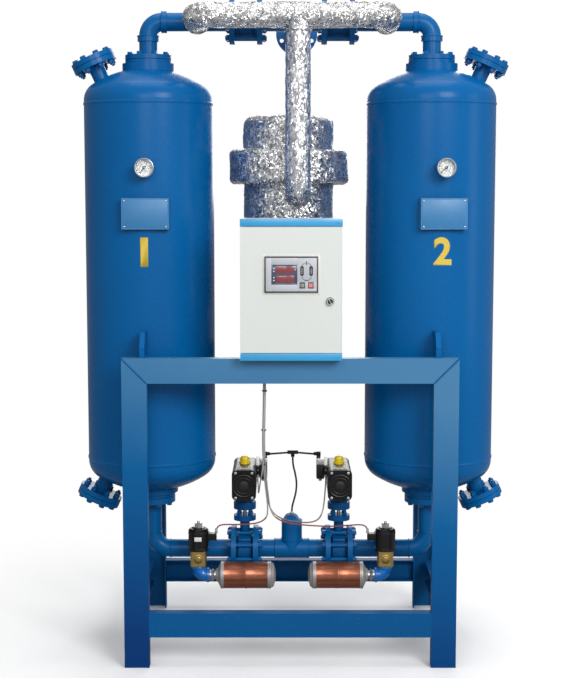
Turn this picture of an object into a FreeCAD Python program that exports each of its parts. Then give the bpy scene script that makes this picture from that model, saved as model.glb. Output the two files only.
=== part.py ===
import FreeCAD
import Part
import math
import os

# Twin-tower desiccant air dryer on a welded channel frame, all lengths in millimetres.
# X runs from the left tower to the right tower, the cabinet faces -Y, the floor is Z = 0.

V = FreeCAD.Vector
X_AXIS = V(1, 0, 0)
Y_AXIS = V(0, 1, 0)
Z_AXIS = V(0, 0, 1)

# Frame of rolled channel
FRAME_WIDTH = 1340.0
FRAME_DEPTH = 870.0
FRAME_HEIGHT = 1261.0
CHANNEL_WEB = 100.0
CHANNEL_FLANGE = 48.0
CHANNEL_WALL = 5.3
LOW_BEAM_BOTTOM = 126.0
CAP_PLATE = 8.0
MITRE_MARGIN = 1.0
DECK_RAIL_SPACING = 270.0

# Towers
TOWER_SPACING = 1180.0
TOWER_OD = 540.0
TOWER_WALL = 6.0
TOWER_TOP_TANGENT = 2293.0
TOWER_BOTTOM_TANGENT = 780.0
CROWN_RADIUS = 434.0
KNUCKLE_RADIUS = 80.0
NECK_OD = 217.0
NECK_BORE = 127.0
NECK_TOP = 2445.0
NECK_BOTTOM = 636.0
RAISED_OD = 193.0
RAISED_HEIGHT = 15.0
TOP_COVER_THICKNESS = 18.0
BOTTOM_COVER_THICKNESS = 26.0
GASKET_GAP = 2.0
GASKET_STEP = 40.0
FACE_MARGIN = 1.0
SEAM_PROUD = 2.5
SEAM_WIDTH = 14.0
BED_BOTTOM_RISE = 30.0
LUG_THICKNESS = 20.0
LUG_HEIGHT = 97.0
LUG_REACH = 411.0
LUG_TIP_HEIGHT = 40.0

# Slanted filling and emptying ports
PORT_TILT = 24.0
PORT_NOZZLE_OD = 66.0
PORT_NOZZLE_WALL = 4.0
PORT_FLANGE_OD = 185.0
PORT_FLANGE_THICKNESS = 20.0
PORT_OFFSET = 227.0
PORT_STANDOFF = 159.0

# Pipework, made of the same tube everywhere
PIPE_OD = 76.0
PIPE_WALL = 5.0
PIPE_MID_X = 8.0
TOP_PIPE_RISE = 157.0
TOP_BEND_RADIUS = 58.0
LOW_PIPE_Z = 384.0
LOW_BEND_RADIUS = 76.0
COLLAR_OD = 89.0
COLLAR_LENGTH = 22.0
REAR_END_Y = 512.0
STUD_COUNT = 8
STUD_OD = 16.0
STUD_CLEARANCE = 1.0
NUT_ACROSS_FLATS = 24.0
NUT_HEIGHT = 13.0
STUD_TIP = 5.0

# Check valves in the outlet header
TOP_FLANGE_OD = 185.0
TOP_FLANGE_THICKNESS = 22.0
TOP_STUD_CIRCLE = 145.0
CHECK_SPREAD = 191.0
CHECK_BODY_LENGTH = 92.0
CHECK_BODY_OD = 122.0
CHECK_PLATE = 6.0
OUTLET_X = 31.0

# Butterfly valves in the inlet manifold
LOW_FLANGE_OD = 200.0
LOW_FLANGE_THICKNESS = 21.0
LOW_STUD_CIRCLE = 160.0
VALVE_SPREAD = 202.0
VALVE_BODY_LENGTH = 73.0
VALVE_BODY_OD = 140.0
VALVE_RING_WIDTH = 52.0
VALVE_SEAT_OD = 112.0
VALVE_NECK_OD = 42.0
VALVE_PAD_OD = 95.0
VALVE_PAD_TOP = 533.0
VALVE_PAD_THICKNESS = 22.0
DISC_THICKNESS = 8.0
STEM_OD = 16.0
STEM_FOOT = 20.0
RUNNING_GAP = 0.3
INLET_TEE_OD = 84.0
INLET_TEE_LENGTH = 145.0
TAP_OD = 88.0
TAP_TOP = 508.0
TAP_CONE_TOP = 532.0
TAP_TIP_OD = 14.0

# Actuators over the butterfly valves
YOKE_TOP = 590.0
YOKE_PLATE = 30.0
YOKE_POST_OD = 14.0
COUPLING_OD = 66.0
COUPLING_SINK = 20.0
ACTUATOR_BOTTOM = 624.0
ACTUATOR_WIDTH = 100.0
ACTUATOR_LENGTH = 262.0
ACTUATOR_TOP = 755.0
ACTUATOR_CORNER = 20.0
ACTUATOR_PAD_WIDTH = 60.0
YOKE_POST_PITCH = 48.0
CAP_HEIGHT = 129.0
CAP_WIDTH = 102.0
CAP_THICKNESS = 12.0
CAP_BOSS_OD = 98.0
CAP_BOSS_PROUD = 9.0
INDICATOR_OD = 46.0
INDICATOR_HEIGHT = 34.0
INDICATOR_RISE = 9.0
INDICATOR_DOME_OD = 38.0
PILOT_WIDTH = 46.0
PILOT_DEPTH = 46.0
PILOT_PLATE = 14.0
PILOT_BOTTOM = 700.0
PILOT_BLOCK_BOTTOM = 752.0
PILOT_TOP = 780.0
PILOT_COIL_SHIFT = 8.0
PILOT_COIL_DROP = 6.0
PILOT_PLUG_DEPTH = 20.0
PILOT_PLUG_BOTTOM = 715.0
FITTING_OD = 18.0
FITTING_HEIGHT = 26.0
AIR_TUBE_OD = 8.0
AIR_TEE_Z = 804.0
AIR_TUBE_END_Z = 795.0
AIR_TEE_X = 12.0
AIR_TEE_LENGTH = 46.0
AIR_TEE_OD = 16.0
AIR_TEE_DROP = 18.0

# Purge valves and silencers
PURGE_SPREAD = 394.0
PURGE_Y = -140.0
PURGE_BODY_WIDTH = 66.0
PURGE_BODY_BOTTOM = 348.0
PURGE_BODY_HEIGHT = 62.0
PURGE_NECK_OD = 44.0
PURGE_BRANCH_OD = 42.0
PURGE_BORE = 30.0
PURGE_CORNER = 10.0
COIL_WIDTH = 84.0
COIL_DEPTH = 80.0
COIL_BOTTOM = 414.0
COIL_HEIGHT = 92.0
COIL_NUT_HEIGHT = 22.0
COIL_NUT_ACROSS = 30.0
COIL_CORNER = 34.0
COIL_RIM = 8.0
PLUG_LENGTH = 34.0
PLUG_HEIGHT = 28.0
PLUG_WIDTH = 28.0
PLUG_DROP = 22.0
SILENCER_Z = 304.0
SILENCER_OD = 116.0
SILENCER_LENGTH = 200.0
SILENCER_CAP_OD = 50.0
SILENCER_CAP_LENGTH = 27.0
ELBOW_OD = 54.0
ELBOW_BORE = 36.0
ELBOW_RADIUS = 32.0
ELBOW_REACH = 45.0
NIPPLE_OD = 42.0
NIPPLE_LENGTH = 28.0

# Foil-covered hot air header
HOT_OD = 100.0
HOT_Y = -256.0
HOT_LEG_X = 31.0
HOT_SPREAD = 390.0
HOT_BEND = 62.0
HOT_OUTLET_DROP = 56.0
HOT_BORE = 56.0

# Heater vessel
HEATER_X = -6.0
HEATER_Y = 40.0
HEATER_OD = 365.0
HEATER_WALL = 40.0
HEATER_SKIRT_OD = 330.0
HEATER_SKIRT_WALL = 8.0
HEATER_SHOULDER = 30.0
HEATER_FLOOR = 60.0
HEATER_SKIRT_HEIGHT = 139.0
HEATER_SHELL_HEIGHT = 560.0
HEATER_BAND_HEIGHT = 123.0
HEATER_BAND_OD = 486.0
HEATER_BAND_EDGE = 10.0
HEATER_HEAD_OD = 355.0
HEATER_HEAD_HEIGHT = 140.0
HEATER_CROWN = 18.0
ROD_COUNT = 6
ROD_OD = 16.0
ROD_CIRCLE = 170.0
ROD_FOOT_RISE = 80.0
FEED_OD = 60.0
FEED_BORE = 52.0
FEED_SOCKET_OD = 68.0
FEED_Y = 320.0
FEED_RISE = 100.0
FEED_BEND = 76.0
FEED_DROP = 24.0

# Control cabinet
CABINET_X = 3.5
CABINET_WIDTH = 398.0
CABINET_HEIGHT = 552.0
CABINET_OVERHANG = 62.0
CABINET_DEPTH = 200.0
SHEET = 2.0
STRIP_HEIGHT = 28.0
DOOR_THICKNESS = 20.0
DOOR_GAP = 2.0
DOOR_BACK_GAP = 1.0
LIP_WIDTH = 16.0
HINGE_PIN_OD = 5.0
HINGE_PIN_REACH = 10.0
HINGE_EDGE_X = 5.0
HINGE_EDGE_Y = 4.5
CONTROLLER_WIDTH = 207.0
CONTROLLER_HEIGHT = 140.0
CONTROLLER_Z = 1598.0
CONTROLLER_PROUD = 8.0
CONTROLLER_BODY_DEPTH = 58.0
CONTROLLER_RIM = 8.0
CONTROLLER_CORNER = 4.0
WINDOW_WIDTH = 96.0
WINDOW_HEIGHT = 72.0
WINDOW_X = -27.0
WINDOW_SINK = 2.0
KEY_SIZE = 19.0
KEY_PITCH = 33.0
KEY_X = 62.6
KEY_Z = 1556.0
KEY_TRAVEL = 1.5
KEY_CLEARANCE = 0.5
LOCK_X = 155.0
LOCK_Z = 1493.0
LOCK_OD = 27.0
LOCK_PROUD = 15.0
LOCK_SHAFT_OD = 14.0
LOCK_SLOT = (2.4, 4.0, 12.0)
LOCK_CAM_LENGTH = 40.0
LOCK_CAM_GAP = 4.0
LOCK_CAM_WIDTH = 16.0
LOCK_CAM_THICKNESS = 3.0

# Contactors and terminals on the plate inside the cabinet
GEAR_MARGIN_X = 25.0
GEAR_MARGIN_Z = 40.0
GEAR_PLATE = 8.0
CONTACTOR = (60.0, 62.0, 85.0)
CONTACTOR_START = 30.0
CONTACTOR_PITCH = 78.0
CONTACTOR_COUNT = 4
CONTACTOR_DROP = 160.0
TERMINAL = (22.0, 40.0, 55.0)
TERMINAL_START = 24.0
TERMINAL_PITCH = 25.0
TERMINAL_COUNT = 12
TERMINAL_RISE = 90.0

# Gauges and name plates
GAUGE_OD = 75.0
GAUGE_DEPTH = 30.0
GAUGE_WALL = 4.0
GAUGE_RECESS = 14.0
GAUGE_FACE_Y = -330.0
GAUGE_Z = 2012.0
GAUGE_PIN_OD = 4.0
GAUGE_PIN_LENGTH = 9.0
GAUGE_STEM_OD = 22.0
NEEDLE_LENGTH = 26.0
NEEDLE_TAIL = 10.0
NEEDLE_ROOT_WIDTH = 4.0
NEEDLE_TIP_WIDTH = 1.6
NEEDLE_HUB_OD = 12.0
NEEDLE_THICKNESS = 1.2
NEEDLE_STANDOFF = 6.0
NEEDLE_ZERO = 225.0
PLATE_WIDTH = 190.0
PLATE_HEIGHT = 125.0
PLATE_CENTRE_Z = 1829.0
PLATE_SHEET = 3.0
PLATE_FACE_Y = -296.0
LEFT_FRONT_TURN = 1.5
RIGHT_FRONT_TURN = 5.5

# Cables and the pilot hose
CABLE_OD = 6.0
GLAND_X = -104.0
GLAND_Y = -345.0
GLAND_ACROSS = 34.0
GLAND_LENGTH = 26.0

# Places that follow from the sizes above
TOWER_X = TOWER_SPACING / 2
TOWER_R = TOWER_OD / 2
HEAD_LEAN = math.asin((TOWER_R - KNUCKLE_RADIUS) / (CROWN_RADIUS - KNUCKLE_RADIUS))
CROWN_SINK = (CROWN_RADIUS - KNUCKLE_RADIUS) * math.cos(HEAD_LEAN)
FRONT_Y = -FRAME_DEPTH / 2
REAR_Y = FRAME_DEPTH / 2
SIDE_X = FRAME_WIDTH / 2
TOP_PIPE_Z = NECK_TOP + RAISED_HEIGHT + TOP_PIPE_RISE
HEATER_SHELL_BOTTOM = FRAME_HEIGHT + HEATER_SKIRT_HEIGHT
HEATER_BAND_BOTTOM = HEATER_SHELL_BOTTOM + HEATER_SHELL_HEIGHT
HEATER_BAND_TOP = HEATER_BAND_BOTTOM + HEATER_BAND_HEIGHT
HEATER_TOP = HEATER_BAND_TOP + HEATER_HEAD_HEIGHT
ROD_BOTTOM = HEATER_SHELL_BOTTOM + ROD_FOOT_RISE
FEED_Z = HEATER_SHELL_BOTTOM + FEED_RISE
HOT_OUTLET_Z = HEATER_BAND_BOTTOM - HOT_OUTLET_DROP
CABINET_FRONT_Y = FRONT_Y - CABINET_OVERHANG
CABINET_LEFT = CABINET_X - CABINET_WIDTH / 2
CABINET_RIGHT = CABINET_X + CABINET_WIDTH / 2
CABINET_TOP = FRAME_HEIGHT + CABINET_HEIGHT
CABINET_BACK_Y = CABINET_FRONT_Y + CABINET_DEPTH
DOOR_BACK_Y = CABINET_FRONT_Y + DOOR_THICKNESS
CONTROLLER_FACE_Y = CABINET_FRONT_Y - CONTROLLER_PROUD
HINGE_X = CABINET_LEFT + HINGE_EDGE_X
HINGE_Y = CABINET_FRONT_Y + HINGE_EDGE_Y
PIPE_R = PIPE_OD / 2
PIPE_BORE = PIPE_OD - 2 * PIPE_WALL


def save(name, shape):
    shape.exportStep(os.path.join("parts", name + ".step"))


def box(x0, x1, y0, y1, z0, z1):
    return Part.makeBox(x1 - x0, y1 - y0, z1 - z0, V(x0, y0, z0))


def rod(base, axis, diameter, length):
    return Part.makeCylinder(diameter / 2, length, base, axis)


def fuse(shapes):
    return shapes[0].multiFuse(shapes[1:]).removeSplitter()


def cut_each(shape, tools):
    for tool in tools:
        shape = shape.cut(tool)
    return shape


def mirror_x(shape):
    return shape.mirror(V(), X_AXIS)


def extrude(points, direction):
    return Part.Face(Part.makePolygon(points + points[:1])).extrude(direction)


def aim(shape, origin, axis):
    """Turns a shape built along +Z onto another axis and moves it to its place."""
    moved = shape.copy()
    moved.Placement = FreeCAD.Placement(origin, FreeCAD.Rotation(Z_AXIS, axis))
    return moved


def prism(across_flats, height, sides=6):
    corner = across_flats / 2 / math.cos(math.pi / sides)
    angles = [2 * math.pi * (k + 0.5) / sides for k in range(sides)]
    points = [V(corner * math.cos(a), corner * math.sin(a), 0) for a in angles]
    return extrude(points, V(0, 0, height))


def circle_places(count, circle):
    angles = [2 * math.pi * (k + 0.5) / count for k in range(count)]
    return [V(circle / 2 * math.cos(a), circle / 2 * math.sin(a), 0) for a in angles]


def drilled_flange(origin, axis, outer, thickness, circle):
    """Round flange with its stud holes straddling the centre lines, not yet bored for the pipe."""
    disc = rod(V(), Z_AXIS, outer, thickness)
    holes = [rod(p, Z_AXIS, STUD_OD + 2 * STUD_CLEARANCE, thickness)
             for p in circle_places(STUD_COUNT, circle)]
    return aim(disc.cut(Part.makeCompound(holes)), origin, axis)


def bend(before, corner, after, radius):
    """Start, end, middle, centre and axis of the arc that rounds one corner of a route."""
    inward = (before - corner).normalize()
    onward = (after - corner).normalize()
    turn = math.pi - inward.getAngle(onward)
    first = corner + inward * (radius * math.tan(turn / 2))
    last = corner + onward * (radius * math.tan(turn / 2))
    towards = (inward + onward).normalize()
    centre = corner + towards * (radius / math.cos(turn / 2))
    return first, last, centre - towards * radius, centre, onward.cross(inward), turn


def swept_rod(points, radius, diameter):
    """Round bar along straight runs that are joined by arcs of one radius."""
    shapes = []
    start = points[0]
    for before, corner, after in zip(points, points[1:], points[2:]):
        first, last, _, centre, axis, turn = bend(before, corner, after, radius)
        shapes.append(rod(start, first - start, diameter, (first - start).Length))
        ring = Part.Face(Part.Wire(Part.makeCircle(diameter / 2, first, first - start)))
        shapes.append(ring.revolve(centre, axis, math.degrees(turn)))
        start = last
    shapes.append(rod(start, points[-1] - start, diameter, (points[-1] - start).Length))
    return fuse(shapes)


def swept_tube(points, radius, outer, inner):
    return swept_rod(points, radius, outer).cut(swept_rod(points, radius, inner))


def turned(points, centre):
    """Solid of revolution about a vertical line, from (radius, height) points."""
    outline = [V(r, 0, z) for r, z in points]
    face = Part.Face(Part.makePolygon(outline + outline[:1]))
    solid = face.revolve(V(), Z_AXIS, 360)
    solid.translate(centre)
    return solid


# Frame

def channel_outline():
    """Channel section: the web lies along the first axis, the flanges point along the second."""
    half = CHANNEL_WEB / 2
    inner = half - CHANNEL_WALL
    return [(-half, 0), (half, 0), (half, CHANNEL_FLANGE), (inner, CHANNEL_FLANGE),
            (inner, CHANNEL_WALL), (-inner, CHANNEL_WALL), (-inner, CHANNEL_FLANGE),
            (-half, CHANNEL_FLANGE)]


def channel(start, end, web_direction, flange_direction):
    points = [start + web_direction * a + flange_direction * b for a, b in channel_outline()]
    return extrude(points, end - start)


def mitre_cutter(above):
    """Wedge on one side of the 45 degree mitre at the top left corner of the front frame."""
    left = -SIDE_X - MITRE_MARGIN
    right = -SIDE_X + CHANNEL_WEB + MITRE_MARGIN
    high = FRAME_HEIGHT + MITRE_MARGIN
    low = FRAME_HEIGHT - CHANNEL_WEB - MITRE_MARGIN
    y = FRONT_Y - MITRE_MARGIN
    apex = V(right, y, high) if above else V(left, y, low)
    return extrude([V(left, y, high), V(right, y, low), apex],
                   V(0, CHANNEL_FLANGE + 2 * MITRE_MARGIN, 0))


def build_posts():
    centre = V(-SIDE_X + CHANNEL_WEB / 2, FRONT_Y, 0)
    front = channel(centre, centre + V(0, 0, FRAME_HEIGHT), X_AXIS, Y_AXIS)
    front = front.cut(mitre_cutter(True))
    centre = V(-SIDE_X + CHANNEL_WEB / 2, REAR_Y, 0)
    height = V(0, 0, FRAME_HEIGHT - CAP_PLATE)
    cap = box(-SIDE_X, -SIDE_X + CHANNEL_WEB, REAR_Y - CHANNEL_FLANGE, REAR_Y,
              FRAME_HEIGHT - CAP_PLATE, FRAME_HEIGHT)
    rear = fuse([channel(centre, centre + height, X_AXIS, -Y_AXIS), cap])
    save("front_left_post", front)
    save("front_right_post", mirror_x(front))
    save("rear_left_post", rear)
    save("rear_right_post", mirror_x(rear))


def cross_beam(y, inward, centre_z, half_length):
    start = V(-half_length, y, centre_z)
    return channel(start, start + V(2 * half_length, 0, 0), Z_AXIS, inward)


def build_beams():
    half = SIDE_X - CHANNEL_WEB
    low_z = LOW_BEAM_BOTTOM + CHANNEL_WEB / 2
    top = cross_beam(FRONT_Y, Y_AXIS, FRAME_HEIGHT - CHANNEL_WEB / 2, SIDE_X)
    below = mitre_cutter(False)
    top = top.cut(below).cut(mirror_x(below))
    save("front_top_beam", top)
    save("low_beams", Part.makeCompound([cross_beam(FRONT_Y, Y_AXIS, low_z, half),
                                         cross_beam(REAR_Y, -Y_AXIS, low_z, half)]))
    tie_z = FRAME_HEIGHT - 1.5 * CHANNEL_WEB
    save("rear_top_beam", cross_beam(REAR_Y, -Y_AXIS, tie_z, half))
    tip = REAR_Y - CHANNEL_FLANGE
    side = channel(V(-SIDE_X, -tip, low_z), V(-SIDE_X, tip, low_z), Z_AXIS, X_AXIS)
    save("side_beams", Part.makeCompound([side, mirror_x(side)]))
    rail_x = DECK_RAIL_SPACING / 2
    rail_z = FRAME_HEIGHT - CHANNEL_WEB / 2
    rail = channel(V(-rail_x, -tip, rail_z), V(-rail_x, REAR_Y, rail_z), Z_AXIS, -X_AXIS)
    save("deck_rails", Part.makeCompound([rail, mirror_x(rail)]))


# Towers, built at the left side and mirrored

def head_arcs(inset, tangent, up):
    """Crown and knuckle of one dished head, in from the outside by the inset."""
    def on_circle(centre_x, centre_z, radius, turn):
        return V(centre_x + radius * math.sin(turn), 0, centre_z + up * radius * math.cos(turn))
    crown = (0.0, tangent - up * CROWN_SINK, CROWN_RADIUS - inset)
    knuckle = (TOWER_R - KNUCKLE_RADIUS, tangent, KNUCKLE_RADIUS - inset)
    middle = (HEAD_LEAN + math.pi / 2) / 2
    return [Part.Arc(on_circle(*crown, 0), on_circle(*crown, HEAD_LEAN / 2),
                     on_circle(*crown, HEAD_LEAN)).toShape(),
            Part.Arc(on_circle(*knuckle, HEAD_LEAN), on_circle(*knuckle, middle),
                     on_circle(*knuckle, math.pi / 2)).toShape()]


def dished_body(inset):
    """Closed vessel outline with a dished head at each end, about the Z axis."""
    radius = TOWER_R - inset
    low, high = TOWER_BOTTOM_TANGENT, TOWER_TOP_TANGENT
    pole = CROWN_RADIUS - inset - CROWN_SINK
    side = Part.makeLine(V(radius, 0, low), V(radius, 0, high))
    middle = Part.makeLine(V(0, 0, high + pole), V(0, 0, low - pole))
    edges = head_arcs(inset, low, -1) + [side] + head_arcs(inset, high, 1) + [middle]
    wire = Part.Wire(Part.__sortEdges__(edges))
    solid = Part.Face(wire).revolve(V(), Z_AXIS, 360)
    return Part.makeSolid(solid.Shells[0])


def seam_bead(z):
    rounded = [(TOWER_R - 1, -SEAM_WIDTH / 2), (TOWER_R, -SEAM_WIDTH / 2),
               (TOWER_R + SEAM_PROUD, -SEAM_WIDTH / 5), (TOWER_R + SEAM_PROUD, SEAM_WIDTH / 5),
               (TOWER_R, SEAM_WIDTH / 2), (TOWER_R - 1, SEAM_WIDTH / 2)]
    return turned([(r, z + dz) for r, dz in rounded], V())


def port_frame(top):
    """Centre of a slanted port's nozzle root and the way it points, left tower, local."""
    tilt = math.radians(PORT_TILT)
    axis = V(-math.sin(tilt), 0, math.cos(tilt) if top else -math.cos(tilt))
    face = V(-PORT_OFFSET, 0, 0)
    face.z = TOWER_TOP_TANGENT + PORT_STANDOFF if top else TOWER_BOTTOM_TANGENT - PORT_STANDOFF
    return face, axis


def port_nozzle(top, diameter, length):
    face, axis = port_frame(top)
    return rod(face - axis * length, axis, diameter, length)


def lug(side):
    """Welded gusset that carries the tower on the frame, at the front or the rear."""
    reach = LUG_REACH * side
    root = (TOWER_R - TOWER_WALL / 2) * side
    points = [V(-LUG_THICKNESS / 2, root, FRAME_HEIGHT),
              V(-LUG_THICKNESS / 2, reach, FRAME_HEIGHT),
              V(-LUG_THICKNESS / 2, reach, FRAME_HEIGHT + LUG_TIP_HEIGHT),
              V(-LUG_THICKNESS / 2, reach - LUG_TIP_HEIGHT * side, FRAME_HEIGHT + LUG_HEIGHT),
              V(-LUG_THICKNESS / 2, root, FRAME_HEIGHT + LUG_HEIGHT)]
    return extrude(points, V(LUG_THICKNESS, 0, 0))


def tower_shell():
    """Pressure vessel about the Z axis with its necks, slanted ports and gussets."""
    neck_low = NECK_BOTTOM - RAISED_HEIGHT
    top_face = NECK_TOP + RAISED_HEIGHT
    outside = [dished_body(0.0),
               rod(V(0, 0, TOWER_TOP_TANGENT), Z_AXIS, NECK_OD, NECK_TOP - TOWER_TOP_TANGENT),
               rod(V(0, 0, TOWER_TOP_TANGENT), Z_AXIS, RAISED_OD, top_face - TOWER_TOP_TANGENT),
               rod(V(0, 0, NECK_BOTTOM), Z_AXIS, NECK_OD, TOWER_BOTTOM_TANGENT - NECK_BOTTOM),
               rod(V(0, 0, neck_low), Z_AXIS, RAISED_OD, TOWER_BOTTOM_TANGENT - neck_low),
               seam_bead(TOWER_TOP_TANGENT - SEAM_WIDTH), seam_bead(TOWER_BOTTOM_TANGENT + SEAM_WIDTH),
               lug(-1), lug(1)]
    reach = PORT_STANDOFF
    for top in (True, False):
        face, axis = port_frame(top)
        outside.append(port_nozzle(top, PORT_NOZZLE_OD, reach))
        outside.append(rod(face - axis * PORT_FLANGE_THICKNESS, axis, PORT_FLANGE_OD,
                           PORT_FLANGE_THICKNESS))
    hollow = [dished_body(TOWER_WALL),
              rod(V(0, 0, neck_low), Z_AXIS, NECK_BORE, top_face - neck_low)]
    for top in (True, False):
        hollow.append(port_nozzle(top, PORT_NOZZLE_OD - 2 * PORT_NOZZLE_WALL, reach))
    return cut_each(fuse(outside), hollow)


def desiccant_bed():
    radius = TOWER_R - TOWER_WALL
    return Part.makeCylinder(radius, TOWER_TOP_TANGENT - TOWER_BOTTOM_TANGENT - BED_BOTTOM_RISE,
                             V(0, 0, TOWER_BOTTOM_TANGENT + BED_BOTTOM_RISE))


def port_cover(top):
    face, axis = port_frame(top)
    return rod(face + axis * GASKET_GAP, axis, PORT_FLANGE_OD, PORT_FLANGE_THICKNESS)


def port_gasket(top):
    face, axis = port_frame(top)
    return rod(face, axis, PORT_FLANGE_OD - GASKET_STEP, GASKET_GAP)


def build_towers():
    left = V(-TOWER_X, 0, 0)
    shell = tower_shell()
    shell.translate(left)
    save("left_tower_shell", shell)
    save("right_tower_shell", mirror_x(shell))
    bed = desiccant_bed()
    bed.translate(left)
    save("desiccant_beds", Part.makeCompound([bed, mirror_x(bed)]))
    covers = []
    for top in (True, False):
        cover = fuse([port_cover(top), port_gasket(top)])
        cover.translate(left)
        covers += [cover, mirror_x(cover)]
    save("port_covers", Part.makeCompound(covers))


# Pipework

def top_spool(valve_x):
    """Tower cover, riser, bend and header run up to the check valve, at the left side."""
    cover_z = NECK_TOP + RAISED_HEIGHT + GASKET_GAP
    flange_x = valve_x - CHECK_BODY_LENGTH / 2 - TOP_FLANGE_THICKNESS
    route = [V(-TOWER_X, 0, cover_z), V(-TOWER_X, 0, TOP_PIPE_Z), V(flange_x, 0, TOP_PIPE_Z)]
    collar_z = TOP_PIPE_Z - TOP_BEND_RADIUS - COLLAR_LENGTH
    shapes = [swept_rod(route, TOP_BEND_RADIUS, PIPE_OD),
              rod(V(-TOWER_X, 0, cover_z), Z_AXIS, RAISED_OD, TOP_COVER_THICKNESS),
              rod(V(-TOWER_X, 0, cover_z - GASKET_GAP), Z_AXIS, RAISED_OD - GASKET_STEP, GASKET_GAP),
              rod(V(-TOWER_X, 0, collar_z), Z_AXIS, COLLAR_OD, COLLAR_LENGTH),
              rod(V(-TOWER_X + TOP_BEND_RADIUS, 0, TOP_PIPE_Z), X_AXIS, COLLAR_OD, COLLAR_LENGTH)]
    flange = drilled_flange(V(flange_x, 0, TOP_PIPE_Z), X_AXIS, TOP_FLANGE_OD,
                            TOP_FLANGE_THICKNESS, TOP_STUD_CIRCLE)
    bore = [V(-TOWER_X, 0, cover_z - 2 * GASKET_GAP), route[1],
            V(flange_x + 2 * TOP_FLANGE_THICKNESS, 0, TOP_PIPE_Z)]
    hot_inlet = rod(V(valve_x + CHECK_SPREAD - HOT_SPREAD, 0, TOP_PIPE_Z), -Y_AXIS, HOT_BORE, PIPE_OD)
    return cut_each(fuse(shapes + [flange]),
                    [swept_rod(bore, TOP_BEND_RADIUS, PIPE_BORE), hot_inlet])


def low_spool(valve_x):
    """Bottom cover, bend and manifold run up to the butterfly valve, at the left side."""
    cover_top = NECK_BOTTOM - RAISED_HEIGHT - GASKET_GAP
    flange_x = valve_x - VALVE_BODY_LENGTH / 2 - LOW_FLANGE_THICKNESS
    route = [V(-TOWER_X, 0, cover_top), V(-TOWER_X, 0, LOW_PIPE_Z), V(flange_x, 0, LOW_PIPE_Z)]
    purge_x = valve_x + VALVE_SPREAD - PURGE_SPREAD
    branch_length = -PURGE_Y - PURGE_BODY_WIDTH / 2
    shapes = [swept_rod(route, LOW_BEND_RADIUS, PIPE_OD),
              rod(V(-TOWER_X, 0, cover_top - BOTTOM_COVER_THICKNESS), Z_AXIS, RAISED_OD,
                  BOTTOM_COVER_THICKNESS),
              rod(V(-TOWER_X, 0, cover_top), Z_AXIS, RAISED_OD - GASKET_STEP, GASKET_GAP),
              rod(V(purge_x, 0, LOW_PIPE_Z), -Y_AXIS, PURGE_BRANCH_OD, branch_length)]
    flange = drilled_flange(V(flange_x, 0, LOW_PIPE_Z), X_AXIS, LOW_FLANGE_OD,
                            LOW_FLANGE_THICKNESS, LOW_STUD_CIRCLE)
    bore = [V(-TOWER_X, 0, cover_top + 2 * GASKET_GAP), route[1],
            V(flange_x + 2 * LOW_FLANGE_THICKNESS, 0, LOW_PIPE_Z)]
    branch_bore = rod(V(purge_x, 0, LOW_PIPE_Z), -Y_AXIS, PURGE_BORE, branch_length + FACE_MARGIN)
    return cut_each(fuse(shapes + [flange]),
                    [swept_rod(bore, LOW_BEND_RADIUS, PIPE_BORE), branch_bore])


def mirrored_spool(builder, spread):
    """The right-hand spool: built to its own length, because the run is off the frame's centre."""
    return mirror_x(builder(-(PIPE_MID_X + spread)))


def build_spools():
    save("left_top_pipe", top_spool(PIPE_MID_X - CHECK_SPREAD))
    save("right_top_pipe", mirrored_spool(top_spool, CHECK_SPREAD))
    save("left_bottom_pipe", low_spool(PIPE_MID_X - VALVE_SPREAD))
    save("right_bottom_pipe", mirrored_spool(low_spool, VALVE_SPREAD))


def header_tee(z, half, branch_x, flange_od, flange_thickness, circle, extra, extra_bores):
    """Run between two valves with a flange on each end, and a branch to the rear."""
    left_face = PIPE_MID_X - half
    right_face = PIPE_MID_X + half
    rear = REAR_END_Y
    size = (flange_od, flange_thickness, circle)
    shapes = [rod(V(left_face, 0, z), X_AXIS, PIPE_OD, 2 * half),
              rod(V(branch_x, 0, z), Y_AXIS, PIPE_OD, rear),
              drilled_flange(V(left_face, 0, z), X_AXIS, *size),
              drilled_flange(V(right_face, 0, z), -X_AXIS, *size)]
    bores = [rod(V(left_face - FACE_MARGIN, 0, z), X_AXIS, PIPE_BORE,
                 2 * (half + FACE_MARGIN)),
             rod(V(branch_x, 0, z), Y_AXIS, PIPE_BORE, rear + FACE_MARGIN)]
    return cut_each(fuse(shapes + extra), bores + extra_bores)


def build_outlet_tee():
    z = TOP_PIPE_Z
    drop = PIPE_R + FEED_DROP
    socket = rod(V(OUTLET_X, FEED_Y, z), -Z_AXIS, FEED_SOCKET_OD, drop)
    socket_bore = rod(V(OUTLET_X, FEED_Y, z), -Z_AXIS, FEED_BORE, drop + FACE_MARGIN)
    flange = drilled_flange(V(OUTLET_X, REAR_END_Y, z), -Y_AXIS, TOP_FLANGE_OD,
                            TOP_FLANGE_THICKNESS, TOP_STUD_CIRCLE)
    save("outlet_tee", header_tee(z, CHECK_SPREAD - CHECK_BODY_LENGTH / 2, OUTLET_X, TOP_FLANGE_OD,
                                  TOP_FLANGE_THICKNESS, TOP_STUD_CIRCLE, [socket, flange],
                                  [socket_bore]))


def check_valve(x):
    body = rod(V(x - CHECK_BODY_LENGTH / 2, 0, TOP_PIPE_Z), X_AXIS, CHECK_BODY_OD, CHECK_BODY_LENGTH)
    bore = rod(V(x - CHECK_BODY_LENGTH / 2, 0, TOP_PIPE_Z), X_AXIS, PIPE_BORE, CHECK_BODY_LENGTH)
    plate = rod(V(x - CHECK_PLATE / 2, 0, TOP_PIPE_Z), X_AXIS, PIPE_BORE, CHECK_PLATE)
    return fuse([body.cut(bore), plate])


def build_check_valves():
    save("left_check_valve", check_valve(PIPE_MID_X - CHECK_SPREAD))
    save("right_check_valve", check_valve(PIPE_MID_X + CHECK_SPREAD))


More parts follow.
